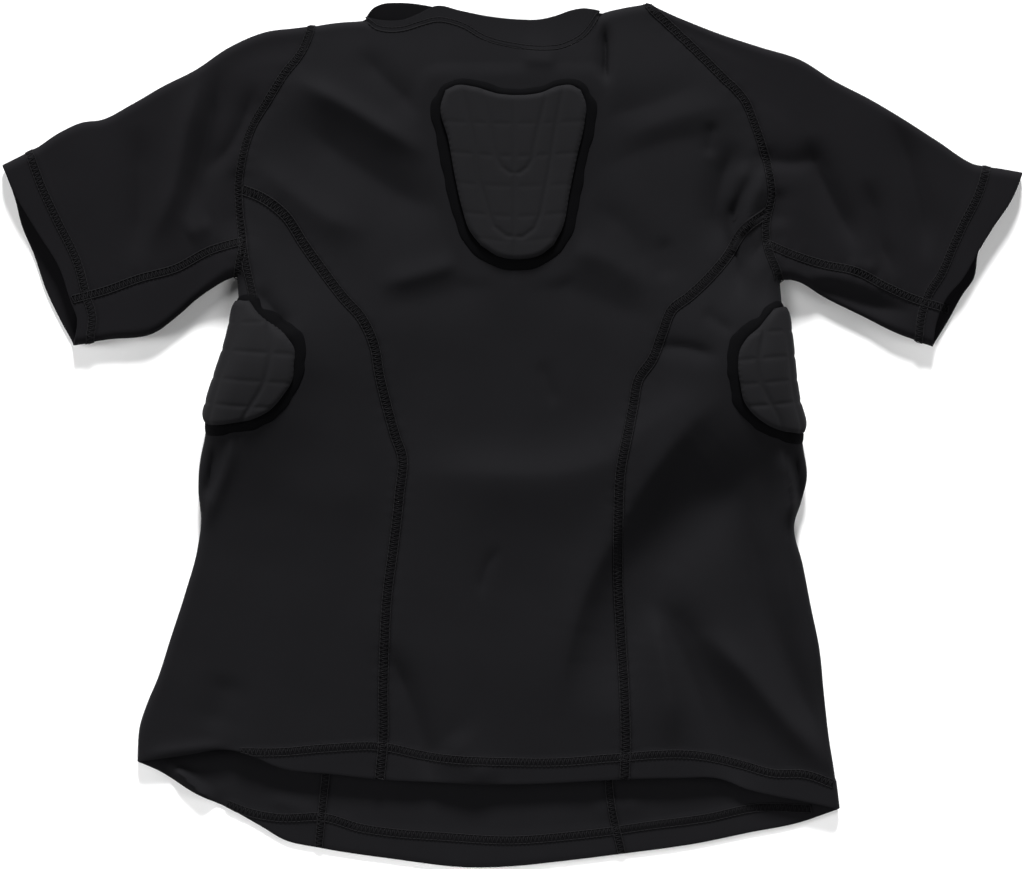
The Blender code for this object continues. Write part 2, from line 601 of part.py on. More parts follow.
def sleeve(name, body, top, under, cuff_front, cuff_back):
    """A sleeve: a flattened tube from the armhole to the cuff, rolled at its top and underarm edges."""
    top_line, under_line = Line(top), Line(under)
    cuffs = {1: Line(cuff_front[::-1]), -1: Line(cuff_back[::-1])}
    arm_edge = body.armhole_edge(False)
    junction_share = body.junction / body.arm.length
    points, weights = [], []
    for station in SLEEVE_ROWS:
        low, high = under_line.at(station), top_line.at(station)
        width = float(np.linalg.norm(high - low))
        if station == 0.0:
            width = body.arm.length
        wall = HEM_CLOTH if station > CUFF_STATION else CLOTH
        blend = smooth(station / SLEEVE_BLEND)
        flat_height = SLEEVE_HEIGHT - SLEEVE_DROP * station
        shoulder = 2 * SHOULDER_MIDDLE - CLOTH

        def plan(share, layer):
            straight = low + (high - low) * share
            arm_bow = body.arm.at(share) - (body.arm.at(0.0) * (1 - share) + body.arm.at(1.0) * share)
            cuff = cuffs[layer]
            cuff_bow = cuff.at(share) - (cuff.at(0.0) * (1 - share) + cuff.at(1.0) * share)
            return straight + arm_bow * (1 - station) ** 2 + cuff_bow * station**2

        def height(place):
            level = front_height(place[0], place[1], with_folds=False)
            return level + (flat_height - level) * blend + fold_rise(place[0], place[1])

        under_top = body.armpit_top + (flat_height - body.armpit_top) * blend
        top_top = shoulder + (flat_height - shoulder) * blend
        under_roll = (under_top - wall) / 2
        top_roll = SHOULDER_ROLL + ((top_top - wall) / 2 - SHOULDER_ROLL) * blend
        edge = CLOTH * min(station / 0.07, 1.0)
        distances = across_stations(width - 2 * edge, under_roll, top_roll, junction_share * width)
        runs = {}
        for layer in (1, -1):
            run = []
            for step, distance in enumerate(distances):
                share = (edge + distance) / width
                place = plan(share, layer)
                if station == 0.0:
                    place = np.array(arm_edge[step])
                from_top = len(distances) - 1 - step
                if step < ROLL_STEPS:
                    rise = (under_top + wall) / 2 + layer * (under_top - wall) / 2 * math.sin(TURNS[step])
                elif from_top < len(SHOULDER_TURNS):
                    turn = SHOULDER_TURNS[from_top]
                    rise = (top_top + wall) / 2 + layer * (top_top - wall) / 2 * math.sin(turn)
                elif layer == 1:
                    rise = height(place)
                    near_under = 1 - smooth((step - ROLL_STEPS) / 4.0)
                    near_top = 1 - smooth((from_top - 3) / 3.0)
                    rise += (under_top - rise) * near_under
                    rise += (top_top - rise) * near_top
                else:
                    rise = wall
                run.append((place[0], place[1], rise))
            runs[layer] = run
        ring = runs[1] + runs[-1][::-1][1:-1]
        points.extend(ring)
        weights.extend([wall / HEM_CLOTH] * len(ring))
    columns = len(points) // len(SLEEVE_ROWS)
    faces = tube_faces(len(SLEEVE_ROWS), columns)
    return make_wall(name, points, faces, ROLL_STEPS + 4, CLOTH_DARK, CLOTH_ROUGH, HEM_CLOTH, weights)


sleeve("sleeve_left", LEFT, SLEEVE_LEFT_TOP, SLEEVE_LEFT_UNDER, CUFF_LEFT_FRONT, CUFF_LEFT_BACK)
sleeve("sleeve_right", RIGHT, SLEEVE_RIGHT_TOP, SLEEVE_RIGHT_UNDER, CUFF_RIGHT_FRONT, CUFF_RIGHT_BACK)


def neckband():
    """The neckband: a low ring round the neck opening, rolled where front and back meet."""
    seams = {1: Line(FRONT_TOP), -1: Line(BACK_TOP)}
    edges = {1: Line(BAND_FRONT_TOP), -1: Line(BAND_BACK_TOP)}
    xs = [x for x in TOP_XS if NECK_LEFT <= x <= NECK_RIGHT]
    rise_steps = 3
    ring = []
    for layer in (1, -1):
        run = []
        for x in xs:
            inside = min(x - NECK_LEFT, NECK_RIGHT - x)
            low = top_offset(seams[layer], x, NECK_SEAM)
            low[1] += 2.0 * CLOTH * (1 - min(inside / 6.0, 1.0))
            high = edges[layer].at(edges[layer].where(0, x))
            column = []
            for step in range(rise_steps + 1):
                place = low + (high - low) * step / rise_steps
                flat = front_height(place[0], place[1]) if layer == 1 else CLOTH
                column.append((place[0], place[1], rolled(inside, flat)))
            run.append(column)
        ring.extend(run if layer == 1 else run[::-1][1:-1])
    points = [ring[column][row] for row in range(rise_steps + 1) for column in range(len(ring))]
    faces = tube_faces(rise_steps + 1, len(ring))
    return make_wall("neckband", points, faces, 6, CLOTH_DARK, CLOTH_ROUGH, CLOTH)


neckband()


def pad_ring(lines, count):
    """Points round a pad from its four edge lines, run counter-clockwise, with the same number on each."""
    ring = []
    for line, forward in lines:
        for step in range(count):
            share = step / count
            ring.append(line.at(share if forward else 1 - share))
    return ring


def fill_ring(ring, count):
    """A square grid of points inside a ring with the same number of points on each of its four sides."""
    whole = ring + [ring[0]]
    bottom, right = whole[0:count + 1], whole[count:2 * count + 1]
    top, left = whole[2 * count:3 * count + 1][::-1], whole[3 * count:4 * count + 1][::-1]
    rows = []
    for row in range(count + 1):
        v = row / count
        for column in range(count + 1):
            u = column / count
            sides = left[row] * (1 - u) + right[row] * u
            ends = bottom[column] * (1 - v) + top[column] * v
            low = bottom[0] * (1 - u) + bottom[-1] * u
            high = top[0] * (1 - u) + top[-1] * u
            rows.append(sides + ends - low * (1 - v) - high * v)
    return rows


def quilt_weights(count):
    """Full height inside a quilt cell, lower in a groove and lowest at the pad's edge."""
    weights = []
    for row in range(count + 1):
        for column in range(count + 1):
            if row in (0, count) or column in (0, count):
                weights.append(EDGE_SHARE)
            elif row % QUILT_STEPS == 0 or column % QUILT_STEPS == 0:
                weights.append(GROOVE_SHARE)
            else:
                weights.append(1.0)
    return weights


PAD_COUNT = QUILT_CELLS * QUILT_STEPS
BINDING_PROFILE = [(0.0, 0.6), (0.5, 1.0), (1.0, 0.6)]


def pad_and_binding(pad_name, ring, lay, rise):
    """A quilted pad inside a ring and a flat binding round it, both laid on a panel by lay(point)."""
    places = [lay(point) for point in fill_ring(beside(ring, LAY_GAP / 2, closed=True), PAD_COUNT)]
    faces = grid_faces(PAD_COUNT + 1, PAD_COUNT + 1)
    top_face = max(range(len(faces)), key=lambda i: places[faces[i][0]][2])
    make_wall(pad_name, places, faces, top_face, PAD_DARK, PAD_ROUGH, rise, quilt_weights(PAD_COUNT))
    points, weights = [], []
    for share, weight in BINDING_PROFILE:
        line = beside(ring, -LAY_GAP / 2 - BINDING_WIDTH * share, closed=True)
        points.extend(lay(point) for point in line)
        weights.extend([weight] * len(line))
    faces = tube_faces(len(BINDING_PROFILE), len(ring))
    top_face = max(range(len(faces)), key=lambda i: points[faces[i][0]][2])
    name = pad_name.replace("pad", "pad_binding")
    make_wall(name, points, faces, top_face, BINDING_DARK, BINDING_ROUGH, BINDING_RISE, weights)


CHEST_LEVEL = CHEST_FLAT + CLOTH + LAY_GAP
CHEST_RING = pad_ring(
    [(Line(CHEST_PAD_BOTTOM), True), (Line(CHEST_PAD_RIGHT), True), (Line(CHEST_PAD_TOP), False),
     (Line(CHEST_PAD_LEFT), False)], PAD_COUNT)
pad_and_binding("chest_pad", CHEST_RING, lambda point: (point[0], point[1], CHEST_LEVEL), CHEST_PAD_RISE)


def lay_on_side(panel, point, lift):
    """A place on a side panel, from its reach round the cloth and its y at the fold, lifted off it."""
    reach, fold_y = point
    fold, front_end = panel.level_row(fold_y)
    radius, middle, top = panel.roll(fold, front_end)
    quarter = radius * math.pi / 2
    length = float(np.linalg.norm(front_end - fold))
    direction = (front_end - fold) / length
    if reach <= quarter:
        turn = reach / radius
        place = fold + direction * (radius - (radius + lift) * math.cos(turn))
        return (place[0], place[1], middle + (radius + lift) * math.sin(turn))
    distance = radius + reach - quarter
    place = fold + direction * distance
    height = front_height(place[0], place[1])
    height += (top - height) * (1 - smooth((distance - radius) / (length - radius) * 2.0))
    return (place[0], place[1], height + lift)


def rib_ring(panel, table):
    """The edge of a rib pad as (reach round the cloth, y at the fold)."""
    front = []
    for fold_y, reach in table:
        radius, _, _ = panel.roll(*panel.level_row(fold_y))
        if reach < radius:
            around = radius * math.acos(1 - reach / radius)
        else:
            around = radius * math.pi / 2 + reach - radius
        front.append((around, fold_y))
    low_y, high_y = table[-1][0], table[0][0]
    back = []
    for share in RIB_BACK_SHARES:
        fold_y = low_y + (high_y - low_y) * share
        radius, _, _ = panel.roll(*panel.level_row(fold_y))
        back.append((BINDING_WIDTH - math.radians(RIB_BINDING_TURN) * radius, fold_y))
    low_middle = ((back[0][0] + front[-1][0]) / 2, low_y - 2.0)
    high_middle = ((back[-1][0] + front[0][0]) / 2, high_y + 2.0)
    low_edge = Line([back[0], low_middle, front[-1]])
    high_edge = Line([back[-1], high_middle, front[0]])
    edges = [(low_edge, True), (Line(front[::-1]), True), (high_edge, False), (Line(back), False)]
    return pad_ring(edges, PAD_COUNT)


for side, table in (("left", RIB_PAD_LEFT), ("right", RIB_PAD_RIGHT)):
    panel = SIDES[side]
    pad_and_binding(
        "rib_pad_" + side, rib_ring(panel, table),
        lambda point: lay_on_side(panel, point, CLOTH + RIB_LAY_GAP), RIB_PAD_RISE)


def centre_over_origin():
    """Places every piece so that the whole shirt lies centred over the origin."""
    graph = bpy.context.evaluated_depsgraph_get()
    corners = np.array([
        tuple(corner) for item in SHIRT.objects for corner in item.evaluated_get(graph).bound_box
    ])
    middle = (corners.min(axis=0) + corners.max(axis=0)) / 2
    for item in SHIRT.objects:
        item.location = (-middle[0], -middle[1], 0.0)


centre_over_origin()
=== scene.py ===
"""Looks of a padded compression shirt laid out flat: fine cloth, pads, seams and stitches.

Sizes in the tables are millimetres in plan, +x to the shirt's left sleeve and +y to its neck.
The shirt lies on z = 0. The front layer's height is a sum of a body form and single folds.
"""

import math

import bmesh
import bpy
import numpy as np
from bpy.props import FloatProperty, FloatVectorProperty, IntProperty, PointerProperty
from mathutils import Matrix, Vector
from mathutils.bvhtree import BVHTree


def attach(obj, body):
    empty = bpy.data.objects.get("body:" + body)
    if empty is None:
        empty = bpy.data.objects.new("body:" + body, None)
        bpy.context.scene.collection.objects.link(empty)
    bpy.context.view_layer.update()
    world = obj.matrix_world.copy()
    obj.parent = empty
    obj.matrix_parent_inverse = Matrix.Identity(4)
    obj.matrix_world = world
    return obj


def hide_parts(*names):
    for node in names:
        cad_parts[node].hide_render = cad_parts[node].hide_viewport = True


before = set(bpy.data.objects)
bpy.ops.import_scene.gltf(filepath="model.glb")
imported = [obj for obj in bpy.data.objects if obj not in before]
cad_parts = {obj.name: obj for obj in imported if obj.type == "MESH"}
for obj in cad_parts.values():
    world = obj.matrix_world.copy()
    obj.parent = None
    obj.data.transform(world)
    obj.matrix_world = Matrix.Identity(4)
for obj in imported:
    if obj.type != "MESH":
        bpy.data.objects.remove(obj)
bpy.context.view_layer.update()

bl_info = {
    "name": "Padded compression shirt",
    "version": (1, 0, 0),
    "blender": (4, 5, 0),
    "location": "3D View > Sidebar > Shirt",
    "description": "Builds the cloth, pads, seams and stitches of a shirt laid out flat",
    "category": "Object",
}

MM = 0.001
# The tables start from a point beside the middle of the model.
SHIFT = np.array([-0.25, 0.5, 0.0])

# Outlines and seams in plan: (x, y).
SIDE_LEFT = [
    (-300, -262), (-298, -233), (-292, -215), (-284, -196), (-274, -165), (-262, -128), (-252, -92),
    (-249, -68), (-251, -45), (-250, -24), (-246, -4), (-243, 12), (-239, 27), (-234, 43),
    (-228, 61), (-222, 82), (-219, 100), (-220, 128),
]
SIDE_RIGHT = [
    (262, -300), (258, -269), (254, -244), (250, -209), (246, -170), (240, -141), (233, -105),
    (226, -72), (232, -52), (236, -34), (233, -11), (230, 8), (225, 26), (222, 45), (220, 66),
    (217, 92), (214, 125),
]
PRINCESS_LEFT = [
    (-106, -276), (-103, -244), (-103, -204), (-102, -168), (-100, -131), (-95, -92), (-90, -48),
    (-88, -16), (-93, -2), (-97, 12), (-106, 48), (-110, 71), (-120, 93), (-135, 110), (-151, 131),
    (-166, 152), (-182, 176), (-201, 190), (-216, 196),
]
PRINCESS_RIGHT = [
    (90, -276), (91, -248), (90, -209), (87, -157), (85, -118), (85, -68), (87, -27), (93, 3),
    (97, 24), (101, 44), (112, 60), (120, 81), (128, 100), (141, 110), (157, 125), (171, 141),
    (186, 164), (205, 178),
]
BACK_PRINCESS_LEFT = [
    (-155, -331), (-150, -280), (-140, -200), (-128, -100), (-122, 0), (-128, 60), (-142, 110),
    (-166, 152), (-200, 186), (-216, 196),
]
BACK_PRINCESS_RIGHT = [
    (88, -336), (80, -300), (78, -200), (80, -100), (86, 0), (104, 50), (130, 96), (171, 146),
    (194, 171), (205, 178),
]
ARMHOLE_LEFT = [
    (-220, 128), (-215, 152), (-217, 176), (-218, 200), (-215, 222), (-208, 244), (-195, 267),
    (-182, 288), (-168, 306), (-160, 326),
]
ARMHOLE_RIGHT = [
    (214, 125), (204, 152), (205, 178), (207, 191), (205, 209), (200, 230), (194, 248), (186, 267),
    (167, 287), (146, 308), (126, 327), (108, 344),
]
FRONT_HEM = [
    (-300, -262), (-260, -256), (-230, -252), (-214, -255), (-185, -267), (-143, -272), (-106, -276),
    (-44, -279), (0, -280), (70, -277), (90, -276), (130, -275), (167, -276), (188, -284),
    (209, -289), (235, -294), (262, -300),
]
BACK_HEM = [
    (-300, -262), (-284, -269), (-253, -288), (-230, -298), (-201, -314), (-182, -325), (-155, -331),
    (-96, -340), (-31, -347), (0, -346), (39, -342), (88, -336), (146, -328), (190, -319),
    (230, -311), (262, -300),
]
FRONT_TOP = [
    (-160, 326), (-140, 329), (-126, 330), (-116, 330), (-108, 325), (-98, 323), (-86, 324), (-73, 328),
    (-60, 331), (-41, 327), (-22, 316), (5, 309), (21, 307), (41, 309), (57, 318), (64, 327),
    (69, 335), (74, 337), (90, 341), (108, 344),
]
BACK_TOP = [
    (-160, 326), (-140, 329), (-126, 330), (-116, 330), (-108, 325), (-95, 321), (-41, 316), (5, 313),
    (41, 314), (57, 321), (64, 328), (69, 335), (74, 337), (90, 341), (108, 344),
]
BAND_FRONT_TOP = [
    (-116, 334), (-108, 332), (-98, 331), (-86, 332), (-76, 336), (-60, 343), (-41, 339), (-22, 335),
    (5, 332), (22, 332), (35, 335), (46, 339), (57, 341), (69, 339.5),
]
BAND_BACK_TOP = [
    (-116, 334), (-112, 341), (-104, 345), (-92, 346), (-76, 345), (-60, 342), (-41, 338), (-22, 334),
    (5, 331), (22, 331), (35, 334), (46, 338), (57, 340), (69, 339.5),
]
SLEEVE_LEFT_TOP = [
    (-160, 326), (-198, 322), (-226, 310), (-253, 292), (-279, 279), (-305, 264), (-329, 252),
    (-344, 250), (-362, 242), (-383, 228), (-408, 215),
]
SLEEVE_LEFT_UNDER = [
    (-220, 128), (-232, 122), (-253, 108), (-269, 94), (-287, 81), (-323, 76), (-351, 72),
]
SLEEVE_RIGHT_TOP = [
    (108, 344), (136, 332), (167, 320), (198, 310), (230, 300), (256, 284), (287, 268), (314, 252),
    (339, 236), (374, 215), (392, 212), (409, 209),
]
SLEEVE_RIGHT_UNDER = [(214, 125), (230, 122), (250, 110), (282, 94), (308, 81), (337, 71)]
CUFF_LEFT_FRONT = [
    (-408, 215), (-397, 191), (-381, 164), (-362, 133), (-353, 106), (-348, 92), (-351, 72),
]
CUFF_LEFT_BACK = [
    (-408, 215), (-398, 188), (-393, 168), (-383, 144), (-373, 115), (-362, 92), (-351, 72),
]
CUFF_RIGHT_FRONT = [
    (409, 209), (400, 188), (384, 164), (373, 146), (361, 125), (347, 108), (339, 87), (337, 71),
]
CUFF_RIGHT_BACK = [
    (409, 209), (400, 188), (384, 164), (374, 147), (370, 125), (361, 112), (350, 92), (337, 71),
]
# Underarm seams, which lie on the front of the sleeves: (x, y).
UNDERARM_LEFT = [(-215, 155), (-242, 147), (-269, 133), (-298, 125), (-326, 115), (-352, 108)]
UNDERARM_RIGHT = [(203, 153), (227, 143), (250, 136), (274, 131), (300, 118), (318, 110), (350, 100)]

# Height of the front layer up the body: (y, height in the middle, height at the sides).
BODY_HEIGHTS = [
    (-300, 7.0, 7.5), (-260, 8.5, 8.5), (-180, 12.5, 10.5), (-100, 14.5, 13.0), (-60, 15.0, 16.0),
    (-20, 15.5, 24.0), (15, 16.0, 31.0), (55, 17.0, 34.0), (90, 18.5, 30.0), (120, 19.0, 22.0),
    (150, 19.0, 18.0), (200, 19.0, 16.0), (280, 19.0, 15.0), (305, 16.0, 12.5), (326, 12.5, 10.0),
    (346, 11.5, 10.0),
]
# How far up the princess seam a side panel's row ends, against how far up the side it starts.
SIDE_ROWS = [
    (0.0, 0.0), (0.14, 0.12), (0.34, 0.285), (0.51, 0.43), (0.64, 0.545), (0.745, 0.63),
    (0.835, 0.705), (0.915, 0.795), (0.95, 0.86), (0.98, 0.93), (1.0, 1.0),
]

# Folds of the front layer: (path, half width to the path's left, half width to its right, rise).
FOLDS = [
    # Chest, left of the pad.
    ([(-182, 287), (-146, 270), (-108, 248), (-66, 220)], 9, 11, 4.4),
    ([(-124, 310), (-106, 288), (-84, 266), (-74, 250)], 10, 11, -2.4),
    ([(-184, 262), (-148, 231), (-118, 209), (-88, 190), (-42, 172)], 20, 24, -5.0),
    ([(-210, 222), (-180, 196), (-146, 172), (-110, 160)], 13, 15, 3.2),
    ([(-206, 118), (-190, 98), (-176, 78)], 8, 8, -3.5),
    # Chest, right of the pad, and the crease beside the neck.
    ([(66, 252), (110, 264), (156, 284)], 15, 11, -1.4),
    ([(86, 236), (142, 256), (182, 264)], 12, 15, 1.8),
    ([(66, 208), (112, 230), (170, 242)], 12, 16, -1.2),
    ([(74, 330), (75, 300), (72, 270)], 4, 5, -5.0),
    ([(6, 300), (38, 298)], 11, 8, 1.4),
    ([(58, 184), (82, 172), (101, 150), (108, 116)], 13, 13, -1.7),
    ([(38, 149), (78, 138), (110, 114)], 12, 12, 1.9),
    ([(121, 160), (124, 120)], 7, 7, -1.2),
    # Under the chest.
    ([(0, 130), (-34, 119), (-74, 107), (-124, 102)], 17, 14, -1.1),
    ([(12, 131), (54, 114), (94, 98), (128, 90)], 14, 19, -1.5),
    ([(-110, 118), (-62, 131), (-34, 140)], 10, 8, 2.4),
    ([(22, 61), (29, 40), (35, 20)], 6, 6, -0.9),
    # Right armpit.
    ([(182, 236), (168, 206), (163, 180), (168, 144)], 10, 11, -4.2),
    ([(160, 252), (157, 220)], 5, 5, -1.6),
    ([(189, 220), (181, 200), (174, 176)], 5, 5, 2.2),
    ([(186, 208), (179, 182), (177, 156), (181, 133), (184, 104)], 6, 8, -5.2),
    ([(203, 218), (198, 200), (190, 182), (187, 165), (189, 144)], 7, 5, 3.2),
    ([(206, 190), (199, 168), (196, 152), (198, 128)], 5, 6, -2.8),
    ([(110, 72), (142, 69), (168, 61)], 5, 8, -2.4),
    ([(150, 100), (178, 80)], 5, 5, -1.4),
    # Belly: the cross ridge and the broad hollow under it.
    ([(-98, -34), (-34, -33), (38, -33), (78, -22), (104, 0), (138, 24), (173, 40)], 20, 36, 5.6),
    ([(180, 40), (142, 10), (112, -30), (82, -80), (62, -118), (44, -176), (34, -230)], 12, 18, 5.0),
    ([(220, 0), (180, -40), (142, -70), (108, -104), (88, -154), (80, -226)], 28, 34, -9.2),
    ([(-194, -52), (-102, -52)], 34, 34, 1.4),
    ([(112, -120), (120, -172), (126, -212), (128, -256)], 13, 12, 4.0),
    ([(-8, -88), (-21, -108), (-26, -132)], 5, 5, -0.9),
    # Toward the hem.
    ([(-102, -164), (-84, -206), (-72, -246), (-60, -290)], 9, 9, -4.2),
    ([(98, -118), (132, -158), (150, -194), (164, -226), (175, -254), (184, -296)], 16, 13, -8.0),
    ([(144, -150), (178, -180), (206, -212), (232, -242), (262, -277)], 14, 12, 6.0),
    ([(186, -36), (192, -96), (204, -146), (223, -188), (239, -227), (256, -266)], 11, 14, -6.5),
    ([(218, -20), (220, -68), (222, -116), (229, -164)], 6, 6, 2.0),
    ([(-226, -190), (-240, -240)], 14, 14, -1.5),
    ([(-300, -258), (-260, -252), (-222, -248)], 5, 3, 1.5),
    # Side creases below the rib pads.
    ([(-222, 8), (-229, -27), (-239, -52), (-246, -80)], 6, 2.4, 2.6),
    ([(-236, -4), (-241, -30), (-246, -56)], 4, 4, -3.5),
    ([(213, -6), (221, -37), (225, -80)], 3, 6, 3.4),
    ([(224, -8), (229, -36), (230, -64)], 4, 4, -4.0),
    ([(-52, -240), (-34, -262), (-18, -286)], 16, 16, 2.6),
    # Left sleeve in the picture plane.
    ([(-246, 300), (-254, 268), (-262, 236), (-268, 206), (-276, 180), (-292, 146)], 12, 9, 4.2),
    ([(-232, 296), (-240, 256), (-250, 214), (-262, 166)], 10, 9, -3.8),
    ([(-204, 284), (-216, 248), (-230, 224), (-252, 206)], 9, 9, -3.2),
    ([(-221, 222), (-223, 150)], 11, 10, -2.6),
    ([(-262, 160), (-238, 168)], 9, 9, 1.8),
    ([(-300, 250), (-298, 194), (-302, 134)], 14, 11, -2.6),
    # Right sleeve.
    ([(190, 224), (222, 217), (252, 222)], 10, 7, -3.0),
    ([(238, 240), (246, 210), (256, 189), (267, 168), (280, 144)], 10, 8, -5.4),
    ([(282, 206), (290, 180), (295, 154), (308, 124)], 7, 7, -2.8),
    ([(304, 258), (317, 222), (324, 196), (329, 170), (332, 134)], 10, 8, -4.2),
    ([(266, 136), (294, 132)], 6, 6, 1.6),
    ([(214, 200), (213, 164)], 8, 8, -1.8),
    ([(220, 122), (255, 114), (285, 104), (326, 97)], 7, 10, -3.8),
    ([(226, 126), (261, 126), (286, 119), (306, 112)], 5, 5, 1.4),
]
# Folds on the inside of the back layer, which shows past the front hem.
BACK_FOLDS = [
    ([(-276, -262), (-263, -274), (-250, -286), (-236, -297)], 5, 5, 5.0),
    ([(-246, -262), (-226, -282)], 7, 7, -0.4),
    ([(-200, -290), (-150, -306)], 9, 9, 1.2),
    ([(60, -300), (110, -296)], 10, 10, 1.0),
]
# Upper edge of the turned hem, where it is stitched: (x, y).
FRONT_STITCH = [
    (-218, -251), (-186, -251), (-149, -248), (-102, -247), (-70, -254), (0, -259), (39, -259),
    (78, -256), (151, -254), (183, -261), (209, -268), (235, -269), (258, -277),
]
BACK_STITCH = [
    (-229, -293), (-210, -300), (-188, -304), (-149, -304), (-122, -312), (-96, -316), (-57, -319),
    (0, -322), (52, -318), (78, -315), (105, -311), (157, -304), (196, -296), (240, -297),
]
# Short seam from the left armpit to the rib pad under it: (x, y).
ARMPIT_SEAM = [(-215, 156), (-213, 138), (-209, 120), (-206, 106)]

# Pads: edge lines (x, y), and for the ribs (y at the side fold, reach of the edge from the fold).
CHEST_PAD_LEFT = [(-25, 151), (-34, 163), (-40, 181), (-46, 208), (-51, 236), (-57, 262), (-53, 275)]
CHEST_PAD_RIGHT = [(33, 151), (40, 164), (46, 193), (52, 222), (58, 249), (59, 264), (55, 275)]
CHEST_PAD_TOP = [
    (-53, 275), (-44, 279), (-32, 278), (-10, 272), (5, 271), (23, 273), (36, 278), (47, 279), (55, 275),
]
CHEST_PAD_BOTTOM = [(-25, 151), (-10, 142), (7, 140), (22, 143), (33, 151)]
RIB_PAD_LEFT = [
    (104, 8), (96, 13), (86, 27), (77, 42), (69, 50), (59, 53), (46, 56), (35, 53), (22, 46), (15, 36),
    (10, 18),
]
RIB_PAD_RIGHT = [
    (99, 7), (94, 11), (87, 17), (78, 29), (69, 36), (57, 39), (43, 39), (29, 38), (18, 33), (9, 24),
    (3, 12),
]
# Pressed grooves of the chest pad: share of the groove depth and a line in plan (x, y).
CHEST_GROOVES = [
    (1.0, [(2, 290), (2, 130)]),
    (0.45, [(-60, 250), (0, 248), (60, 250)]),
    (0.55, [(-56, 226), (0, 222), (58, 225)]),
    (0.40, [(-50, 201), (0, 198), (54, 200)]),
    (0.50, [(-46, 178), (0, 174), (48, 177)]),
    (0.35, [(-36, 158), (2, 154), (40, 158)]),
    (1.25, [(-24, 290), (-22, 269), (-18, 250), (-14, 228), (-10, 216), (-2, 209), (7, 209), (15, 217),
           (18, 232), (23, 253), (27, 270), (28, 290)]),
    (1.25, [(-44, 290), (-35, 255), (-30, 231), (-26, 202), (-20, 184), (-15, 167), (-6, 159), (4, 157),
           (13, 159), (22, 174), (26, 193), (30, 213), (34, 241), (44, 290)]),
]
# Pressed grooves of the rib pads: share of the depth, and a line of (way round from the side
# fold, y at the fold).
RIB_GROOVES_LEFT = [
    (0.4, [(-30, 88), (70, 88)]), (0.6, [(-30, 66), (70, 66)]), (0.5, [(-30, 44), (70, 44)]),
    (0.6, [(-30, 24), (70, 24)]), (1.0, [(12, 130), (12, -20)]), (1.0, [(-10, 130), (-10, -20)]),
    (1.2, [(32, 130), (31, 88), (40, 70), (44, 44), (34, 10), (30, -20)]),
]
RIB_GROOVES_RIGHT = [
    (0.5, [(-30, 82), (70, 82)]), (0.6, [(-30, 62), (70, 62)]), (0.5, [(-30, 43), (70, 43)]),
    (0.7, [(-30, 25), (70, 25)]), (1.0, [(10, 130), (10, -20)]), (1.0, [(-9, 130), (-9, -20)]),
    (1.2, [(24, 130), (24, 82), (31, 62), (31, 43), (24, 20), (20, -20)]),
]

# Form sizes shared with the solids, in millimetres.
CLOTH = 1.2
HEM_CLOTH = 2.0
HEM_DEPTH = 21.0
UNDER_GAP = 0.5
CREST_HALF_WIDTH = 66.0
CHEST_FLAT = 19.0
BINDING_WIDTH = 8.4
PAD_FLAT_MARGIN = BINDING_WIDTH + 4.0
SHOULDER_MIDDLE = 5.6
SHOULDER_ROLL = 5.0
NECK_LEFT, NECK_RIGHT = -116.0, 69.0
SEAM_GAP = 0.2
NECK_GAP = 0.3
RIB_BINDING_TURN = 50.0
RIB_TOP_NARROWING = 4.0
# Crossing threads are laid on the cloth this far off the join of two panels.
OFF_JOIN = 0.8
# Rise of the seam bands: the underside's are pressed flat by the shirt's weight.
BAND_RISE = {"front": 0.35, "back": -0.34}
# How much deeper than in the table the folds are pressed, and how near the layers may come.
FOLD_DEPTH = 1.65
NEAREST = UNDER_GAP + HEM_CLOTH + 0.8
PRESS_SOFTNESS = 2.0
# Folds: reach in half widths, roundness of the crown, how fast they fall and how their ends fade.
FOLD_REACH = 3.2
FOLD_CROWN = 0.03
FOLD_FALL = 0.75
FOLD_END_STEEPNESS = 3
FOLD_END_LEAST = 0.04
# Low waves of the front layer: height, and two beats of (length in x, length in y, start).
WAVES = [
    (0.40, (31.0, 47.0, 0.6), (-83.0, 39.0, 0.0)),
    (0.26, (17.0, -23.0, 1.9), (29.0, 61.0, 0.4)),
    (0.12, (9.0, 13.0, 0.0), (-15.0, 21.0, 2.2)),
]
# Beside the seams: height and reach of the puckers, depth and reach of the groove.
PUCKER_HEIGHT, PUCKER_REACH = 0.26, 8.0
SEAM_GROOVE_DEPTH, SEAM_GROOVE_REACH = 0.30, 5.5
# The chest pad as a tapered block, and how far round it the cloth turns from flat to its folds.
BLOCK_LOW, BLOCK_HIGH = 140.0, 272.0
BLOCK_MIDDLE = 2.0
BLOCK_HALF_WIDTH = 28.0
BLOCK_WIDENING, BLOCK_WIDENS_OVER = 30.0, 125.0
BLOCK_FADE = 14.0
# Share of a panel's height over which its hem line pulls on it.
HEM_PULL = 0.25
# Share of a centre panel's side that runs along the princess seam, below the armhole.
SEAM_PART = 0.64
# Side panels: how far inside the fold the height of their roll is read.
ROLL_PROBE = 12.0
# Sleeves: height at the armhole and its fall to the cuff, lengths, and how their form blends in.
SLEEVE_HEIGHT, SLEEVE_FALL = 13.5, 3.5
SLEEVE_LENGTH, SLEEVE_SHORTEST = 240.0, 190.0
SLEEVE_BLEND = 0.30
SLEEVE_SEAM_SHARE = 0.05
SLEEVE_EDGE_SHARE = 0.07
SLEEVE_ROLL_FADE = 26.0
# Neckband: its cut, and how near its two ends it narrows.
NECK_LENGTH, NECK_WIDTH = 400.0, 22.0
NECK_CORNER = 6.0
# Pads: how far they lie off the cloth, their edge's lowest share and the grooves' soft shoulders.
CHEST_LAY, RIB_LAY = 0.05, 0.2
CHEST_TOP_NARROWING = 3.4
PAD_EDGE_LEAST = 0.46
GROOVE_SHOULDER, GROOVE_SHOULDER_REACH = 0.20, 9.0
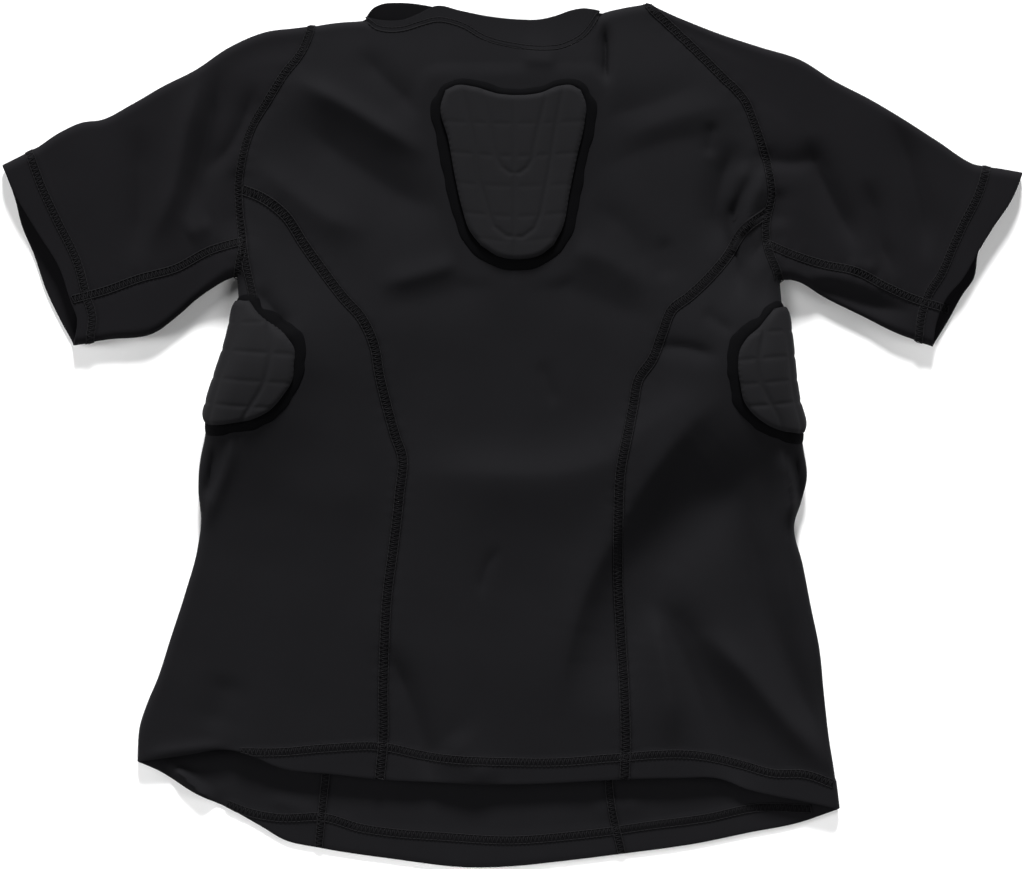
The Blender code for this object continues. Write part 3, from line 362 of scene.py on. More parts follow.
# Tape round the pads: height, how far it goes under the pad and past its line, and its section
# as (share of the width, share of the height).
TAPE_RISE = 1.9
TAPE_UNDER, TAPE_PAST = 0.6, 0.9
TAPE_NARROWS_OVER = 8.0
TAPE_SECTION = [(0.0, 0.8), (0.25, 1.0), (0.5, 0.9), (0.75, 0.6), (0.93, 0.28), (1.0, 0.08)]
# Thread of one stitch: shares of its length and the heights there.
COVER_STEPS, COVER_LIFTS = np.array([0.0, 0.22, 0.5, 0.78]), np.array([-0.16, 0.22, 0.28, 0.22])
PLAIN_STEPS, PLAIN_LIFTS = np.array([0.0, 0.25, 0.75]), np.array([-0.18, 0.24, 0.24])
# Middle of the stitching below its upper edge at the hem, and its share up a cuff and the neck.
HEM_STITCH_DROP = 3.0
CUFF_STITCH_SHARE = 1 - 0.088
NECK_SEAM_SHARE = 0.06
# Cuts of the cloth: width, length, and how coarse the grid is against the front's.
CUTS = {
    "front": (390, 620, 1.0), "back": (410, 690, 1.6), "side": (340, 450, 1.15),
    "sleeve": (440, 250, 1.1),
}
BODY_CLOTH = (
    "front_cloth", "back_cloth", "side_cloth_left", "side_cloth_right", "sleeve_cloth_left",
    "sleeve_cloth_right",
)

# Knits: the colour that each takes and how it differs from the body's cloth.
KNITS = {
    "stretch_knit": ("knit_colour", {}),
    # The sleeves' knit is made darker than the body's as painted shade.
    "sleeve_knit": ("sleeve_shaded_colour", {"nap": 0.026}),
    # The pads' cover is lighter than the knit: partly its own tone, partly painted light for the
    # brightly lit rib pads.
    "pad_cover": ("pad_colour_with_painted_light", {"wale": 0.0012, "course": 0.0010, "nap": 0.030, "rough": 0.78}),
    "flat_seam": ("seam_colour", {"wale": 0.0007, "course": 0.0006, "nap": 0.015, "gloss": 0.022}),
    # The pads' tape is near-black: its own dark colour, with painted shade of the recess it lies in.
    "seam_tape": ("tape_colour", {"wale": 0.0007, "course": 0.0006, "nap": 0.008, "gloss": 0.015}),
}

# Lamps in metres: (name, place, size, share of the light's strength).
LAMPS = (
    ("key", (0.2, 6.6, 2.8), 1.6, 2.5), ("right", (5.4, -0.8, 2.0), 2.0, 0.27),
    ("left", (-5.4, 0.4, 2.1), 2.0, 0.52), ("low", (0.1, -1.3, 1.5), 0.8, 0.024),
)
# Camera in metres: its height, the height of the cloth it is set for and the view's width there.
CAMERA_HEIGHT = 6.0
CLOTH_LEVEL = 0.012
VIEW_WIDTH = 1024 * 0.0008
FLOOR_HALF_WIDTH = 6.0
# Points along a seam and along a hem, and the one where a surface's outside is told.
SEAM_POINTS, HEM_POINTS = 300, 400
FACING_INDEX = 100
UP, DOWN = np.array([0.0, 0.0, 1.0]), np.array([0.0, 0.0, -1.0])
# Part of the back seams whose inner side is sewn where it shows past the front hem.
INSIDE_SEAM_SHARE = 0.14


def smooth(value):
    value = np.clip(value, 0.0, 1.0)
    return value * value * (3 - 2 * value)


class Line:
    """A smooth line through the points of a table, read by the share of its length."""

    def __init__(self, points):
        self.points = np.array(points, float)
        steps = np.linalg.norm(np.diff(self.points, axis=0), axis=1)
        self.length = float(steps.sum())
        self.shares = np.concatenate([[0.0], np.cumsum(steps)]) / self.length
        self.slopes = np.gradient(self.points, self.shares, axis=0)
        self.fine = np.linspace(0.0, 1.0, 1601)
        self.fine_points = self.at(self.fine)

    def at(self, share):
        share = np.clip(np.asarray(share, float), 0.0, 1.0)
        index = np.clip(np.searchsorted(self.shares, share, side="right") - 1, 0, len(self.points) - 2)
        span = (self.shares[index + 1] - self.shares[index])[..., None]
        t = (share - self.shares[index])[..., None] / span
        near = self.points[index] * (2 * t**3 - 3 * t**2 + 1)
        near = near + self.slopes[index] * span * (t**3 - 2 * t**2 + t)
        far = self.points[index + 1] * (3 * t**2 - 2 * t**3)
        far = far + self.slopes[index + 1] * span * (t**3 - t**2)
        return near + far

    def where(self, axis, value):
        """The share at which a coordinate that only rises or falls reaches a value."""
        along = self.fine_points[:, axis]
        if along[-1] > along[0]:
            return np.interp(value, np.maximum.accumulate(along), self.fine)
        return np.interp(-np.asarray(value, float), np.maximum.accumulate(-along), self.fine)

    def height_at(self, x):
        """The line's y over an x, for a line that runs from left to right."""
        return self.at(self.where(0, x))[..., 1]

    def left_of(self, share):
        """Unit step to the line's left."""
        step = self.at(np.asarray(share) + 0.003) - self.at(np.asarray(share) - 0.003)
        step = step / np.linalg.norm(step, axis=-1, keepdims=True)
        return np.stack([-step[..., 1], step[..., 0]], axis=-1)


def bow(line, share):
    """How far a line runs off the straight between its ends."""
    start, end = line.at(0.0), line.at(1.0)
    return line.at(share) - (start + (end - start) * share[:, None])


def lengths_along(points):
    return np.concatenate([[0.0], np.cumsum(np.linalg.norm(np.diff(points, axis=0), axis=1))])


def read_columns(way, steps, values):
    """The columns of a run of values, read at ways along its steps."""
    return np.column_stack([np.interp(way, steps, column) for column in values.T])


def along_path(points, place):
    """Signed distance from a path (left is above 0), share along it and length along it."""
    path = np.array(points, float)
    lengths = np.linalg.norm(np.diff(path, axis=0), axis=1)
    best = np.full(len(place), 1e9)
    signed = np.zeros(len(place))
    gone = np.zeros(len(place))
    before = 0.0
    for start, end, length in zip(path[:-1], path[1:], lengths):
        step = (end - start) / length
        offset = place - start
        along = np.clip(offset @ step, 0.0, length)
        away = offset - along[:, None] * step
        distance = np.linalg.norm(away, axis=1)
        side = np.sign(step[0] * offset[:, 1] - step[1] * offset[:, 0])
        nearer = distance < best
        best = np.where(nearer, distance, best)
        signed = np.where(nearer, distance * np.where(side == 0, 1.0, side), signed)
        gone = np.where(nearer, before + along, gone)
        before += length
    return signed, gone / before, gone


def bent(points, count=14):
    """A path's points made a smooth line with more points."""
    if len(points) < 3:
        return np.array(points, float)
    return Line(points).at(np.linspace(0.0, 1.0, count))


HEIGHT_TABLE = np.array(BODY_HEIGHTS, float)
HEIGHT_STEPS = np.arange(-330.0, 380.0, 1.0)
SOFT_SPAN = 24.0
SOFT_REACH = np.arange(-SOFT_SPAN, SOFT_SPAN + 1.0, 1.0)
SOFTNESS = np.exp(-((SOFT_REACH / 11.0) ** 2))
SOFTNESS = SOFTNESS / SOFTNESS.sum()


def softened(heights, values):
    """A table column read every millimetre and smoothed."""
    wide = np.arange(HEIGHT_STEPS[0] - SOFT_SPAN, HEIGHT_STEPS[-1] + SOFT_SPAN + 1.0, 1.0)
    return np.convolve(np.interp(wide, heights, values), SOFTNESS, mode="valid")


def side_limit(fold, armhole):
    """The x of one side of the shirt up the body."""
    edge = np.array(fold + armhole[1:], float)
    return softened(edge[:, 1], edge[:, 0])


MIDDLE_HEIGHTS = softened(HEIGHT_TABLE[:, 0], HEIGHT_TABLE[:, 1])
SIDE_HEIGHTS = softened(HEIGHT_TABLE[:, 0], HEIGHT_TABLE[:, 2])
LEFT_LIMIT = side_limit(SIDE_LEFT, ARMHOLE_LEFT)
RIGHT_LIMIT = side_limit(SIDE_RIGHT, ARMHOLE_RIGHT)


def fold_paths(table):
    return [(bent(path), left, right, rise) for path, left, right, rise in table]


FOLD_PATHS = {1: fold_paths(FOLDS), -1: fold_paths(BACK_FOLDS)}
PUCKERED = [bent(path, 40) for path in (PRINCESS_LEFT, PRINCESS_RIGHT, ARMHOLE_LEFT, ARMHOLE_RIGHT,
                                        UNDERARM_LEFT, UNDERARM_RIGHT)]


def fold_rise(place, layer=1):
    """Sum of the soft ridges and troughs at places on a layer."""
    total = np.zeros(len(place))
    for path, left, right, rise in FOLD_PATHS[layer]:
        widest = FOLD_REACH * max(left, right)
        low, high = path.min(axis=0) - widest, path.max(axis=0) + widest
        near = np.all((place > low) & (place < high), axis=1)
        if not near.any():
            continue
        signed, share, _ = along_path(path, place[near])
        width = np.where(signed > 0, left, right)
        fade = smooth(np.minimum(share, 1 - share) * FOLD_END_STEEPNESS + FOLD_END_LEAST)
        total[near] += rise * fade * np.exp(-(((signed / width) ** 2 + FOLD_CROWN) ** FOLD_FALL))
    return total * FOLD_DEPTH


def puckers(place):
    """Small ripples that the sewing draws up beside the seams, and the seams' own shallow groove."""
    total = np.zeros(len(place))
    for path in PUCKERED:
        signed, _, gone = along_path(path, place)
        beat = np.sin(gone / 2.1 + 1.3 * np.sin(gone / 17.0)) * (0.7 + 0.3 * np.sin(gone / 11.0))
        ripple = PUCKER_HEIGHT * beat * np.exp(-((signed / PUCKER_REACH) ** 2))
        total += ripple - SEAM_GROOVE_DEPTH * np.exp(-((signed / SEAM_GROOVE_REACH) ** 2))
    return total


def relief(place):
    """All that lies on the front layer's smooth form."""
    return fold_rise(place) + soft_waves(place) + puckers(place)


def pressed(height):
    """Keeps the front layer just off the back layer where a trough would reach it."""
    return NEAREST + PRESS_SOFTNESS * np.logaddexp(0.0, (height - NEAREST) / PRESS_SOFTNESS)


def soft_waves(place):
    """Low waves that cloth laid by hand keeps, without a regular beat."""
    x, y = place[:, 0], place[:, 1]
    total = np.zeros(len(place))
    for height, *beats in WAVES:
        first, second = [np.sin(x / wide + y / long + start) for wide, long, start in beats]
        total += height * first * second
    return total


def outside_chest_pad(place):
    """Distance of a place from the chest pad, taken as a tapered block."""
    x, y = place[:, 0], place[:, 1]
    taper = np.clip((y - BLOCK_LOW) / BLOCK_WIDENS_OVER, 0.0, 1.0)
    half_width = BLOCK_HALF_WIDTH + BLOCK_WIDENING * taper
    across = np.maximum(np.abs(x - BLOCK_MIDDLE) - half_width, 0.0)
    past = np.maximum(np.maximum(BLOCK_LOW - y, y - BLOCK_HIGH), 0.0)
    return np.hypot(across, past)


def front_height(place, with_folds=True):
    """Height of the front layer's inner surface over the body."""
    place = np.asarray(place, float)
    x, y = place[:, 0], place[:, 1]
    middle = np.interp(y, HEIGHT_STEPS, MIDDLE_HEIGHTS)
    side = np.interp(y, HEIGHT_STEPS, SIDE_HEIGHTS)
    left_limit = -np.interp(y, HEIGHT_STEPS, LEFT_LIMIT)
    limit = np.where(x < 0, left_limit, np.interp(y, HEIGHT_STEPS, RIGHT_LIMIT))
    reach = limit - side / 2 - CREST_HALF_WIDTH
    share = smooth((np.abs(x) - CREST_HALF_WIDTH) / np.maximum(reach, 10.0))
    height = middle + (side - middle) * share
    if with_folds:
        height = pressed(height + relief(place))
    under_pad = 1 - smooth((outside_chest_pad(place) - PAD_FLAT_MARGIN) / BLOCK_FADE)
    return height + (CHEST_FLAT - height) * under_pad


class Side:
    """Seam lines of one side of the shirt, shared by the pieces that meet there."""

    def __init__(self, sign, fold, princess, back_princess, armhole):
        self.sign = sign
        self.fold = Line(fold)
        self.hem_y, self.armpit_y = fold[0][1], fold[-1][1]
        self.corner_y = princess[-1][1]
        self.princess = {1: Line(princess), -1: Line(back_princess)}
        self.arm = Line(armhole)
        self.corner = float(self.arm.where(1, self.corner_y))
        self.rows = np.array(SIDE_ROWS, float)
        probe = self.arm.at(np.array([ROLL_PROBE / self.arm.length]))
        self.armpit_top = float(front_height(probe, with_folds=False)[0])

    def seam_place(self, layer, seam_share, off=0.0):
        """A place on the princess seam by its share of the seam's height, moved off it."""
        line = self.princess[layer]
        low = line.points[0][1]
        share = line.where(1, low + (self.corner_y - low) * seam_share)
        return line.at(share) + line.left_of(share) * off

    def arm_place(self, share, off=0.0):
        return self.arm.at(share) + self.arm.left_of(share) * off

    def fold_place(self, share):
        y = self.hem_y + (self.armpit_y - self.hem_y) * share
        return self.fold.at(self.fold.where(1, y)) + np.array([-self.sign * CLOTH, 0.0])

    def seam_share(self, share):
        return np.interp(share, self.rows[:, 0], self.rows[:, 1])


LEFT = Side(-1, SIDE_LEFT, PRINCESS_LEFT, BACK_PRINCESS_LEFT, ARMHOLE_LEFT)
RIGHT = Side(1, SIDE_RIGHT, PRINCESS_RIGHT, BACK_PRINCESS_RIGHT, ARMHOLE_RIGHT)
SIDES = {"left": LEFT, "right": RIGHT}
HEMS = {1: Line(FRONT_HEM), -1: Line(BACK_HEM)}
TOPS = {1: Line(FRONT_TOP), -1: Line(BACK_TOP)}
BAND_TOPS = {1: Line(BAND_FRONT_TOP), -1: Line(BAND_BACK_TOP)}
STITCHES = {1: Line(FRONT_STITCH), -1: Line(BACK_STITCH)}
TOP_LEFT, TOP_RIGHT = -160.0, 108.0


def rolled(distance, height, middle=SHOULDER_MIDDLE):
    """Height of a layer near the edge where it rolls round to the other layer."""
    turn = np.clip(distance / SHOULDER_ROLL, 0.0, 1.0)
    return middle + (height - middle) * np.sqrt(np.maximum(1 - (1 - turn) ** 2, 0.0))


def wall_at(inside):
    """Cloth thickness at a distance inside the turned hem's stitch line."""
    return CLOTH + (HEM_CLOTH - CLOTH) * smooth(inside / 1.6 + 0.5)


def hem_wall(layer, place):
    """Cloth thickness at places of a layer: doubled under its hem stitch line."""
    line = STITCHES[layer]
    inside = line.height_at(place[:, 0]) - place[:, 1]
    inside = np.minimum(inside, (place[:, 0] - line.points[0][0]) / 4.0)
    return wall_at(inside)


def hem_pull(share):
    """How much of the hem line's bend a place takes, by its share up the panel."""
    return (1 - np.clip(share / HEM_PULL, 0.0, 1.0)) ** 2


def centre_place(layer, u, v):
    """Places of the front or back panel: u from left to right, v from the hem to the shoulders."""
    low = v <= SEAM_PART
    seam_share = np.clip(v / SEAM_PART, 0.0, 1.0)
    arm_rise = np.clip((v - SEAM_PART) / (1 - SEAM_PART), 0.0, 1.0)
    ends = {}
    for side in (LEFT, RIGHT):
        on_seam = side.seam_place(layer, seam_share, side.sign * SEAM_GAP)
        arm_share = side.corner + (1 - side.corner) * arm_rise
        on_arm = side.arm_place(arm_share, side.sign * SEAM_GAP)
        ends[side.sign] = np.where(low[:, None], on_seam, on_arm)
    left, right = ends[-1], ends[1]
    place = left + (right - left) * u[:, None]
    left_hem = LEFT.seam_place(layer, 0.0, -SEAM_GAP)
    right_hem = RIGHT.seam_place(layer, 0.0, SEAM_GAP)
    straight = left_hem + (right_hem - left_hem) * u[:, None]
    place[:, 1] += hem_pull(seam_share) * (HEMS[layer].height_at(straight[:, 0]) - straight[:, 1])
    top_x = TOP_LEFT + (TOP_RIGHT - TOP_LEFT) * u
    top_share = TOPS[layer].where(0, top_x)
    top = TOPS[layer].at(top_share) - TOPS[layer].left_of(top_share) * NECK_GAP
    left_top = LEFT.arm_place(1.0, -SEAM_GAP)
    right_top = RIGHT.arm_place(1.0, SEAM_GAP)
    straight_top = left_top + (right_top - left_top) * u[:, None]
    inner = smooth(np.minimum(u, 1 - u) * 40)
    place = place + (arm_rise * inner)[:, None] * (top - straight_top)
    wall = hem_wall(layer, place)
    if layer == 1:
        height = front_height(place)
    else:
        height = UNDER_GAP + wall + fold_rise(place, -1)
    drop = top[:, 1] - place[:, 1]
    inside_neck = np.minimum(place[:, 0] - NECK_LEFT, NECK_RIGHT - place[:, 0])
    near_edge = rolled(np.maximum(drop, inside_neck), height, SHOULDER_MIDDLE + layer * SEAM_GAP)
    height = np.where(low, height, near_edge)
    points = np.column_stack([place, height])
    return points, place.copy(), wall / HEM_CLOTH


def side_row(side, share):
    """Fold, seam ends and the roll's size for rows of a side panel."""
    fold = side.fold_place(share)
    seam_share = side.seam_share(share)
    ends = {layer: side.seam_place(layer, seam_share, -side.sign * SEAM_GAP) for layer in (1, -1)}
    direction = ends[1] - fold
    direction = direction / np.linalg.norm(direction, axis=1, keepdims=True)
    top = front_height(fold + direction * ROLL_PROBE, with_folds=False)
    top = top + (side.armpit_top - top) * smooth((share - 0.93) / 0.07)
    radius = (top - CLOTH) / 2
    return fold, ends, top, radius


def side_place(side, share, layer, around, lift=0.0):
    """Places of a side panel by the way round from its fold, in millimetres, on one layer."""
    fold, ends, top, radius = side_row(side, share)
    middle = (top + CLOTH) / 2
    end = ends[layer]
    length = np.linalg.norm(end - fold, axis=1)
    quarter = radius * math.pi / 2
    rolling = around < quarter
    turn = np.clip(around / radius, -math.pi / 2, math.pi / 2)
    flat_distance = radius + around - quarter
    distance = np.where(rolling, radius - (radius + lift) * np.cos(turn), flat_distance)
    place = fold + (end - fold) * (distance / length)[:, None]
    along = np.clip(distance / length, 0.0, 1.0)
    arm = side.arm.at(along * side.corner)
    arm_straight = side.arm.at(0.0) + (side.arm.at(side.corner) - side.arm.at(0.0)) * along[:, None]
    place = place + (smooth((share - 0.80) / 0.20))[:, None] * (arm - arm_straight)
    start_hem = side.fold_place(0.0)
    end_hem = side.seam_place(layer, 0.0, -side.sign * SEAM_GAP)
    straight = start_hem + (end_hem - start_hem) * along[:, None]
    place[:, 1] += hem_pull(share) * (HEMS[layer].height_at(straight[:, 0]) - straight[:, 1])
    wall = hem_wall(layer, place)
    if layer == 1:
        flat = front_height(place, with_folds=False)
        part = (distance - radius) / (length - radius)
        flat = flat + (top - flat) * (1 - smooth(part * 2.0)) + lift
        added = relief(place)
    else:
        flat = CLOTH - lift
        added = UNDER_GAP + wall - CLOTH + fold_rise(place, -1)
    height = np.where(rolling, middle + layer * (radius + lift) * np.sin(turn), flat)
    part = np.where(rolling, np.maximum(np.sin(turn), 0.0), 1.0)
    height = height + added * part
    if layer == 1:
        height = height + (pressed(height) - height) * part
    return np.column_stack([place, height]), wall / HEM_CLOTH


def side_width(side, share, layer):
    fold, ends, _, radius = side_row(side, share)
    length = np.linalg.norm(ends[layer] - fold, axis=1)
    return radius * math.pi / 2 + length - radius


def side_cloth_place(side, u, v):
    """Places of a whole side panel: u from the back seam round the fold to the front seam."""
    points = np.zeros((len(u), 3))
    cloth = np.zeros((len(u), 2))
    weight = np.zeros(len(u))
    for layer in (1, -1):
        mine = (u >= 0.5) if layer == 1 else (u < 0.5)
        way = np.abs(u[mine] - 0.5) * 2 * side_width(side, v[mine], layer)
        points[mine], weight[mine] = side_place(side, v[mine], layer, way)
        cloth[mine] = np.column_stack([layer * way, points[mine][:, 1]])
    return points, cloth, weight


SLEEVES = {
    "left": (LEFT, Line(SLEEVE_LEFT_TOP), Line(SLEEVE_LEFT_UNDER),
             {1: Line(CUFF_LEFT_FRONT[::-1]), -1: Line(CUFF_LEFT_BACK[::-1])}),
    "right": (RIGHT, Line(SLEEVE_RIGHT_TOP), Line(SLEEVE_RIGHT_UNDER),
              {1: Line(CUFF_RIGHT_FRONT[::-1]), -1: Line(CUFF_RIGHT_BACK[::-1])}),
}


def sleeve_half(which, layer, across, v):
    """Places of one layer of a sleeve: across from the underarm to the top, v from armhole to cuff."""
    side, top_line, under_line, cuffs = SLEEVES[which]
    low, high = under_line.at(v), top_line.at(v)
    width = np.linalg.norm(high - low, axis=1)
    at_seam = np.clip(1 - v / SLEEVE_SEAM_SHARE, 0.0, 1.0)
    width = width + (side.arm.length - width) * at_seam
    blend = smooth(v / SLEEVE_BLEND)
    flat_height = SLEEVE_HEIGHT - SLEEVE_FALL * v
    shoulder = 2 * SHOULDER_MIDDLE - CLOTH
    under_top = side.armpit_top + (flat_height - side.armpit_top) * blend
    top_top = shoulder + (flat_height - shoulder) * blend
    under_roll = (under_top - CLOTH) / 2
    half_top = (top_top - CLOTH) / 2
    top_roll = SHOULDER_ROLL + (half_top - SHOULDER_ROLL) * blend
    edge = CLOTH * np.clip(v / SLEEVE_EDGE_SHARE, 0.0, 1.0)
    inner = width - 2 * edge
    quarter_under = under_roll * math.pi / 2
    quarter_top = top_roll * math.pi / 2
    flat = inner - under_roll - top_roll
    whole = quarter_under + flat + quarter_top
    way = across * whole
    turn_under = np.clip(way / under_roll, 0.0, math.pi / 2)
    turn_top = np.clip((whole - way) / top_roll, 0.0, math.pi / 2)
    in_under = way < quarter_under
    in_top = (whole - way) < quarter_top
    distance = under_roll + way - quarter_under
    distance = np.where(in_under, under_roll * (1 - np.cos(turn_under)), distance)
    distance = np.where(in_top, inner - top_roll * (1 - np.cos(turn_top)), distance)
    share = (edge + distance) / width
    straight = low + (high - low) * share[:, None]
    arm_bow, cuff_bow = bow(side.arm, share), bow(cuffs[layer], share)
    place = straight + arm_bow * ((1 - v) ** 2)[:, None] + cuff_bow * (v**2)[:, None]
    off = -side.sign * SEAM_GAP * at_seam
    place = place + side.arm.left_of(share) * off[:, None]
    seam_length = (np.linalg.norm(low - side.arm.at(0.0), axis=1) + SLEEVE_LENGTH) * 0.5
    to_cuff = (1 - v) * np.maximum(seam_length, SLEEVE_SHORTEST)
    wall = wall_at(HEM_DEPTH - to_cuff)
    if layer == 1:
        level = front_height(place, with_folds=False)
        rise = level + (flat_height - level) * blend
        near_under = 1 - smooth((way - quarter_under) / SLEEVE_ROLL_FADE)
        near_top = 1 - smooth((whole - way - quarter_top) / SLEEVE_ROLL_FADE)
        rise = rise + (under_top - rise) * near_under
        rise = rise + (top_top - rise) * near_top
        added = relief(place)
    else:
        rise = np.full(len(v), CLOTH)
        added = UNDER_GAP + wall - CLOTH
    low_round = (under_top + CLOTH) / 2 + layer * under_roll * np.sin(turn_under)
    high_round = (top_top + CLOTH) / 2 + layer * half_top * np.sin(turn_top)
    rise = np.where(in_under, low_round, rise)
    rise = np.where(in_top, high_round, rise)
    part = np.where(in_under, np.sin(turn_under), 1.0) * np.where(in_top, np.sin(turn_top), 1.0)
    rise = rise + added * part
    if layer == 1:
        rise = rise + (pressed(rise) - rise) * part
    cloth = np.column_stack([layer * way, v * SLEEVE_LENGTH])
    return np.column_stack([place, rise]), cloth, wall / HEM_CLOTH


def sleeve_place(which, u, v):
    """Places of a whole sleeve: u runs up the front layer and down the back layer."""
    points = np.zeros((len(u), 3))
    cloth = np.zeros((len(u), 2))
    weight = np.zeros(len(u))
    for layer in (1, -1):
        mine = (u <= 0.5) if layer == 1 else (u > 0.5)
        across = u[mine] * 2 if layer == 1 else (1 - u[mine]) * 2
        points[mine], cloth[mine], weight[mine] = sleeve_half(which, layer, across, v[mine])
    return points, cloth, weight


def neck_place(u, v):
    """Places of the neckband: u round the neck over the front and back, v from seam to edge."""
    front = u <= 0.5
    share = np.where(front, u * 2, (1 - u) * 2)
    turn = (1 - np.cos(share * math.pi)) / 2
    x = NECK_LEFT + (NECK_RIGHT - NECK_LEFT) * (0.35 * turn + 0.65 * share)
    points = np.zeros((len(u), 3))
    for layer in (1, -1):
        mine = front if layer == 1 else ~front
        seam_share = TOPS[layer].where(0, x[mine])
        low = TOPS[layer].at(seam_share) + TOPS[layer].left_of(seam_share) * NECK_GAP
        inside = np.minimum(x[mine] - NECK_LEFT, NECK_RIGHT - x[mine])
        low[:, 1] += 2.0 * CLOTH * (1 - np.clip(inside / NECK_CORNER, 0.0, 1.0))
        high = BAND_TOPS[layer].at(BAND_TOPS[layer].where(0, x[mine]))
        place = low + (high - low) * v[mine][:, None]
        flat = front_height(place) if layer == 1 else UNDER_GAP + CLOTH
        points[mine] = np.column_stack([place, rolled(inside, flat)])
    cloth = np.column_stack([u * NECK_LENGTH, v * NECK_WIDTH])
    return points, cloth, np.ones(len(u))


def highest_face_up(sheet):
    """Above 0 where the highest face looks up, as an outside does."""
    return max(sheet.faces, key=lambda face: face.calc_center_median().z).normal.z


def faces_down(sheet):
    """Above 0 where the sheet looks down, as the underside does."""
    return -highest_face_up(sheet)


def grid_mesh(name, columns, rows, place, closed=False, outward=highest_face_up):
    """An open cloth surface: a grid whose corners are moved to their places on the garment."""
    sheet = bmesh.new()
    bmesh.ops.create_grid(sheet, x_segments=columns, y_segments=rows, size=0.5)
    rise_layer = sheet.verts.layers.deform.verify()
    cloth_layer = sheet.loops.layers.uv.new("cloth")
    sheet.verts.index_update()
    corners = list(sheet.verts)
    u = np.array([corner.co.x for corner in corners]) + 0.5
    v = np.array([corner.co.y for corner in corners]) + 0.5
    points, cloth, weight = place(u, v)
    for face in sheet.faces:
        face.smooth = True
        for loop in face.loops:
            loop[cloth_layer].uv = cloth[loop.vert.index] * MM
    for corner, point, share in zip(corners, (points + SHIFT) * MM, weight):
        corner.co = point
        corner[rise_layer][0] = float(share)
    if closed:
        edge = [corner for corner, along in zip(corners, u) if along < 1e-6 or along > 1 - 1e-6]
        bmesh.ops.remove_doubles(sheet, verts=edge, dist=1e-6)
    sheet.normal_update()
    if outward(sheet) < 0:
        bmesh.ops.reverse_faces(sheet, faces=sheet.faces)
    mesh = bpy.data.meshes.new(name)
    sheet.to_mesh(mesh)
    sheet.free()
    item = bpy.data.objects.new(name, mesh)
    bpy.context.scene.collection.objects.link(item)
    item.vertex_groups.new(name="rise")
    return item


def wall(item, thickness, offset=1.0, edge=0.35):
    """Gives a surface its cloth thickness, and rounds the cut edges."""
    thick = item.modifiers.new("thickness", "SOLIDIFY")
    thick.thickness = thickness * MM
    thick.offset = offset
    thick.vertex_group = "rise"
    if edge:
        rounding = item.modifiers.new("edge", "BEVEL")
        rounding.width = edge * MM
        rounding.segments = 2
        rounding.limit_method = "ANGLE"
        rounding.angle_limit = math.radians(60)
    return item


def cut_size(item):
    """Width, length and area of a surface laid flat, from its cloth coordinates, in metres."""
    mesh = item.data
    flat = np.zeros(len(mesh.loops) * 2, np.float32)
    mesh.uv_layers["cloth"].data.foreach_get("uv", flat)
    flat = flat.reshape(-1, 2)
    width, length = flat.max(axis=0) - flat.min(axis=0)
    area = sum(face.area for face in mesh.polygons)
    return float(width), float(length), float(area)


def declare_cloth(item):
    width, length, area = cut_size(item)


class Garment:
    """The outer surfaces of the finished cloth pieces, on which seams and threads are laid."""

    def __init__(self, names):
        graph = bpy.context.evaluated_depsgraph_get()
        corners, faces = [], []
        for name in names:
            item = bpy.data.objects[name].evaluated_get(graph)
            shape = item.to_mesh()
            start = len(corners)
            corners.extend(vertex.co.copy() for vertex in shape.vertices)
            faces.extend([start + index for index in face.vertices] for face in shape.polygons)
            item.to_mesh_clear()
        self.tree = BVHTree.FromPolygons(corners, faces)

    def lay(self, points, normals, lift, above=4.0, below=3.0):
        """Points on the cloth's outside under given ones, lifted off it."""
        found = []
        for point, normal, height in zip(points, normals, lift):
            outward = Vector(normal)
            place = Vector((point + SHIFT) * MM)
            hit = self.tree.ray_cast(place + outward * above * MM, -outward, (above + below) * MM)[0]
            if hit is None:
                hit = self.tree.find_nearest(place)[0]
            found.append(np.array(hit) / MM - SHIFT + np.array(normal) * height)
        return np.array(found)


def surface_path(place, u, v):
    """Places and outward normals on a surface along a run of its own shares."""
    points = place(u, v)
    step = 0.002
    along_u = place(np.clip(u + step, 0, 1), v) - place(np.clip(u - step, 0, 1), v)
    along_v = place(u, np.clip(v + step, 0, 1)) - place(u, np.clip(v - step, 0, 1))
    normals = np.cross(along_u, along_v)
    normals = normals / np.maximum(np.linalg.norm(normals, axis=1, keepdims=True), 1e-9)
    return points, normals


def evenly(points, normals, pitch, closed=False):
    """A run of points and normals read at even steps of about a pitch."""
    if closed:
        points = np.vstack([points, points[:1]])
        normals = np.vstack([normals, normals[:1]])
    lengths = lengths_along(points)
    count = max(int(round(lengths[-1] / pitch)), 2)
    steps = np.linspace(0.0, lengths[-1], count + 1)
    even = read_columns(steps, lengths, points)
    facing = read_columns(steps, lengths, normals)
    facing = facing / np.linalg.norm(facing, axis=1, keepdims=True)
    return even, facing, steps


class Seam:
    """A sewn line on the garment: its path, the cloth's outward side and the way across it."""

    def __init__(self, garment, points, normals, closed=False, above=4.0, below=3.0):
        self.garment = garment
        self.reach = (above, below)
        self.closed = closed
        self.points, self.normals, self.steps = evenly(points, normals, 1.0, closed)
        along = np.gradient(self.points, axis=0)
        if closed:
            along[0] = along[-1] = self.points[1] - self.points[-2]
        across = np.cross(self.normals, along)
        self.across = across / np.maximum(np.linalg.norm(across, axis=1, keepdims=True), 1e-9)
        self.length = float(self.steps[-1])

    def lay(self, way, off, lift):
        """Points on the cloth at a way along the seam and off to its side, lifted off the cloth."""
        normals = read_columns(way, self.steps, self.normals)
        normals = normals / np.linalg.norm(normals, axis=1, keepdims=True)
        across = read_columns(way, self.steps, self.across) * off[:, None]
        start = read_columns(way, self.steps, self.points) + across
        return self.garment.lay(start, normals, lift, *self.reach)


def seam_over(garment, plan, height, normal, **reach):
    """A seam laid over a line in plan from a height, on the side that the normal looks to."""
    points = np.column_stack([plan, np.broadcast_to(height, len(plan))])
    return Seam(garment, points, np.tile(normal, (len(plan), 1)), **reach)


